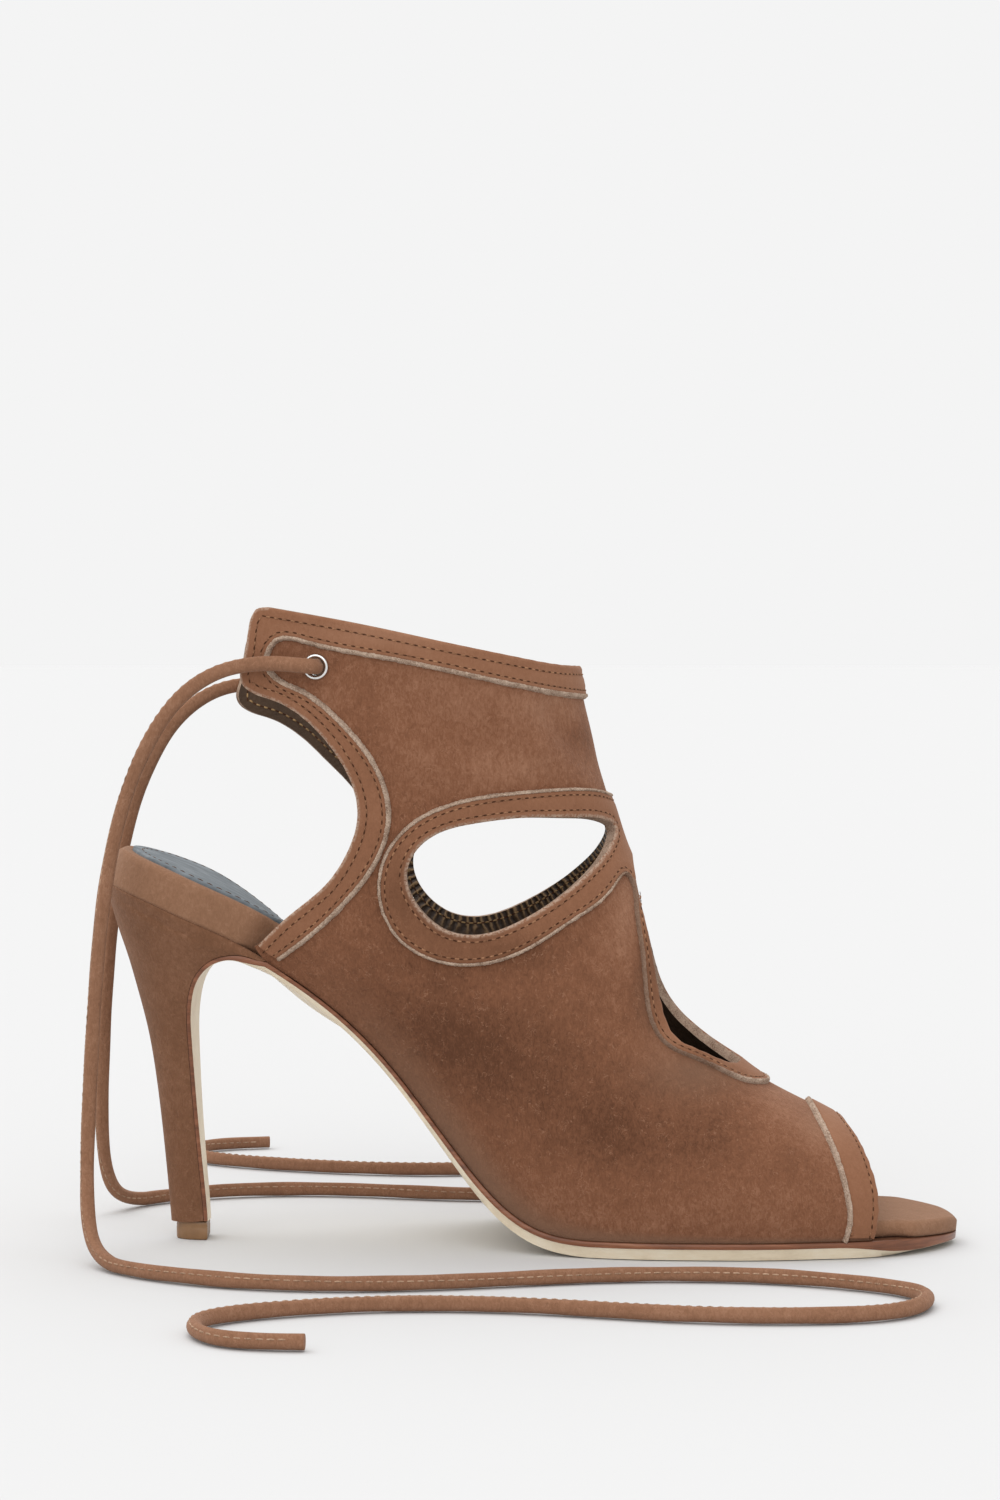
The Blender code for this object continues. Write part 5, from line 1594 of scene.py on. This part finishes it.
def make_eyelet(name, outer):
    """A turned eyelet with a rolled flange outside and a rolled edge inside."""
    roll = np.linspace(*FLANGE_TURN, FLANGE_STEPS)
    flange = np.array(FLANGE_AT) + np.array(FLANGE_ROLL) * np.stack([np.cos(roll), np.sin(roll)], axis=1)
    profile = np.concatenate([flange, EYELET_BARREL])
    turn = full_turn(EYELET_TURNS)
    s, v = side_to_surface(on_side([EYELET_AT], outer), outer)[0]
    to_place = Vector(upper_normal(s, v)).to_track_quat("Z", "Y").to_matrix()
    local = np.array([[(r * math.cos(a), r * math.sin(a), h) for r, h in profile] for a in turn])
    rings = local @ np.array(to_place).T + place(s, v)
    points, faces = ring_loft(np.concatenate([rings, rings[:1]]), False)
    whole = EYELET_TURNS * len(profile)
    faces = [tuple(n % whole for n in face) for face in faces]
    solid_piece("ring_" + name, points[:whole], faces, [METAL], "metal", [name])


def frames_along(points):
    """Two directions square to a line at each of its points, which turn as little as they can."""
    ways = unit(np.gradient(points, axis=0))
    normal = np.cross(ways[0], (0.0, 0.0, 1.0))
    normals = []
    for way in ways:
        normal = unit(normal - way * (normal @ way))
        normals.append(normal)
    normals = np.array(normals)
    return normals, np.cross(ways, normals)


def waves(along, rows):
    """Slow waves at places along a cord, added up."""
    return sum(height * np.sin(along / reach + start) for height, reach, start in rows)


def make_cord(name, route, lead):
    """A rolled suede cord with a sewn lip, from inside its eyelet to its cut end on the floor."""
    points = curve_through(np.concatenate([lead, route]), CORD_STEP)
    points[:, 2] = np.maximum(points[:, 2], TIE_RADIUS + CORD_CLEAR)
    across, up = frames_along(points)
    length = lengths_along(points)
    facing = np.unwrap(np.arctan2(up @ SEAM_FACING, across @ SEAM_FACING))
    facing = np.convolve(np.pad(facing, SEAM_EASE, mode="edge"), np.ones(2 * SEAM_EASE + 1), "valid")
    twist = facing / (2 * SEAM_EASE + 1) + waves(length, TWIST_WAVES)
    turn = full_turn(CORD_SIDES)
    from_lip = np.abs((turn + math.pi) % (2 * math.pi) - math.pi)
    lip = LIP_HEIGHT * np.exp(-((from_lip / LIP_REACH) ** 2))
    furrow = FURROW_DEPTH * np.exp(-(((from_lip - FURROW_AT) / FURROW_REACH) ** 2))
    radius = CORD_ROUND + lip - furrow
    swell = 1 + waves(length, SWELL_WAVES)
    angle = turn[None] + twist[:, None]
    rings = points[:, None] + (radius[None] * swell[:, None])[..., None] * (
        np.cos(angle)[..., None] * across[:, None] + np.sin(angle)[..., None] * up[:, None]
    )
    rings[..., 2] = np.maximum(rings[..., 2], CORD_FLOOR)
    obj = solid_piece("cord_" + name, *ring_loft(rings), [CORD_SUEDE], "cord", ["tie_" + name])
    at = np.arange(CORD_ROW[0], length[-1] - CORD_ROW[1], CORD_PITCH)
    lines = []
    for where in (at, at + CORD_LONG * CORD_PITCH):
        middle, aside, above = (read_along(where, length, rows) for rows in (points, across, up))
        lean = np.interp(where, length, twist) + SEAM_OFF
        out = np.cos(lean)[:, None] * aside + np.sin(lean)[:, None] * above
        lines.append((middle + out * (CORD_ROUND - CORD_SUNK), out))
    (first, out), (last, _) = lines
    sewn = stitches(first, last, out, CORD_STITCH_RADIUS, CORD_STITCH_RISE)
    sewn[0][:, 2] = np.maximum(sewn[0][:, 2], CORD_STITCH_FLOOR)
    seam = add_piece("cord_stitches_" + name, *sewn, [CORD_THREAD], "cord")


def make_stage():
    """A plain pale floor, soft even light from above and in front, and the photo's camera."""
    mesh = bpy.data.meshes.new("floor")
    far = FLOOR_REACH
    corners = [(-far, -far, 0), (far, -far, 0), (far, far, 0), (-far, far, 0)]
    mesh.from_pydata(corners, [], [(0, 1, 2, 3)])
    floor = bpy.data.objects.new("floor", mesh)
    bpy.context.scene.collection.objects.link(floor)
    paper = bpy.data.materials.new("floor_paper")
    paper.use_nodes = True
    shader = paper.node_tree.nodes["Principled BSDF"]
    shader.inputs["Base Color"].default_value = (*(FLOOR_WHITE,) * 3, 1.0)
    shader.inputs["Roughness"].default_value = 1.0
    shader.inputs["Specular IOR Level"].default_value = 0.0
    mesh.materials.append(paper)
    world = bpy.data.worlds.new("studio")
    world.use_nodes = True
    sky = world.node_tree.nodes["Background"]
    sky.inputs["Color"].default_value = (*(BACKDROP,) * 3, 1.0)
    sky.inputs["Strength"].default_value = 1.0
    bpy.context.scene.world = world
    for name, energy, spread, lean in LIGHTS:
        light = bpy.data.lights.new(name, "SUN")
        light.energy = energy
        light.angle = math.radians(spread)
        lamp = bpy.data.objects.new(name, light)
        lamp.rotation_euler = tuple(math.radians(a) for a in lean)
        bpy.context.scene.collection.objects.link(lamp)
    bpy.context.scene.view_settings.view_transform = "Standard"
    camera = bpy.data.cameras.new("camera")
    camera.lens = CAMERA_LENS
    camera.sensor_width = CAMERA_SENSOR
    camera.clip_end = CAMERA_FAR
    view = bpy.data.objects.new("camera", camera)
    view.location = CAMERA_AT
    view.rotation_euler = (math.radians(90.0 - CAMERA_DOWN), 0.0, 0.0)
    bpy.context.scene.collection.objects.link(view)
    bpy.context.scene.camera = view


make_stage()
for tie, tie_route in TIE_ROUTES.items():
    make_cord(tie.removeprefix("tie_"), tie_route, TIE_LEADS[tie])
make_upper()
make_footbed()
make_sock()
make_heel()
make_heel_tip()
make_outsole()
make_eyelet("eyelet_inner", False)
make_eyelet("eyelet_outer", True)
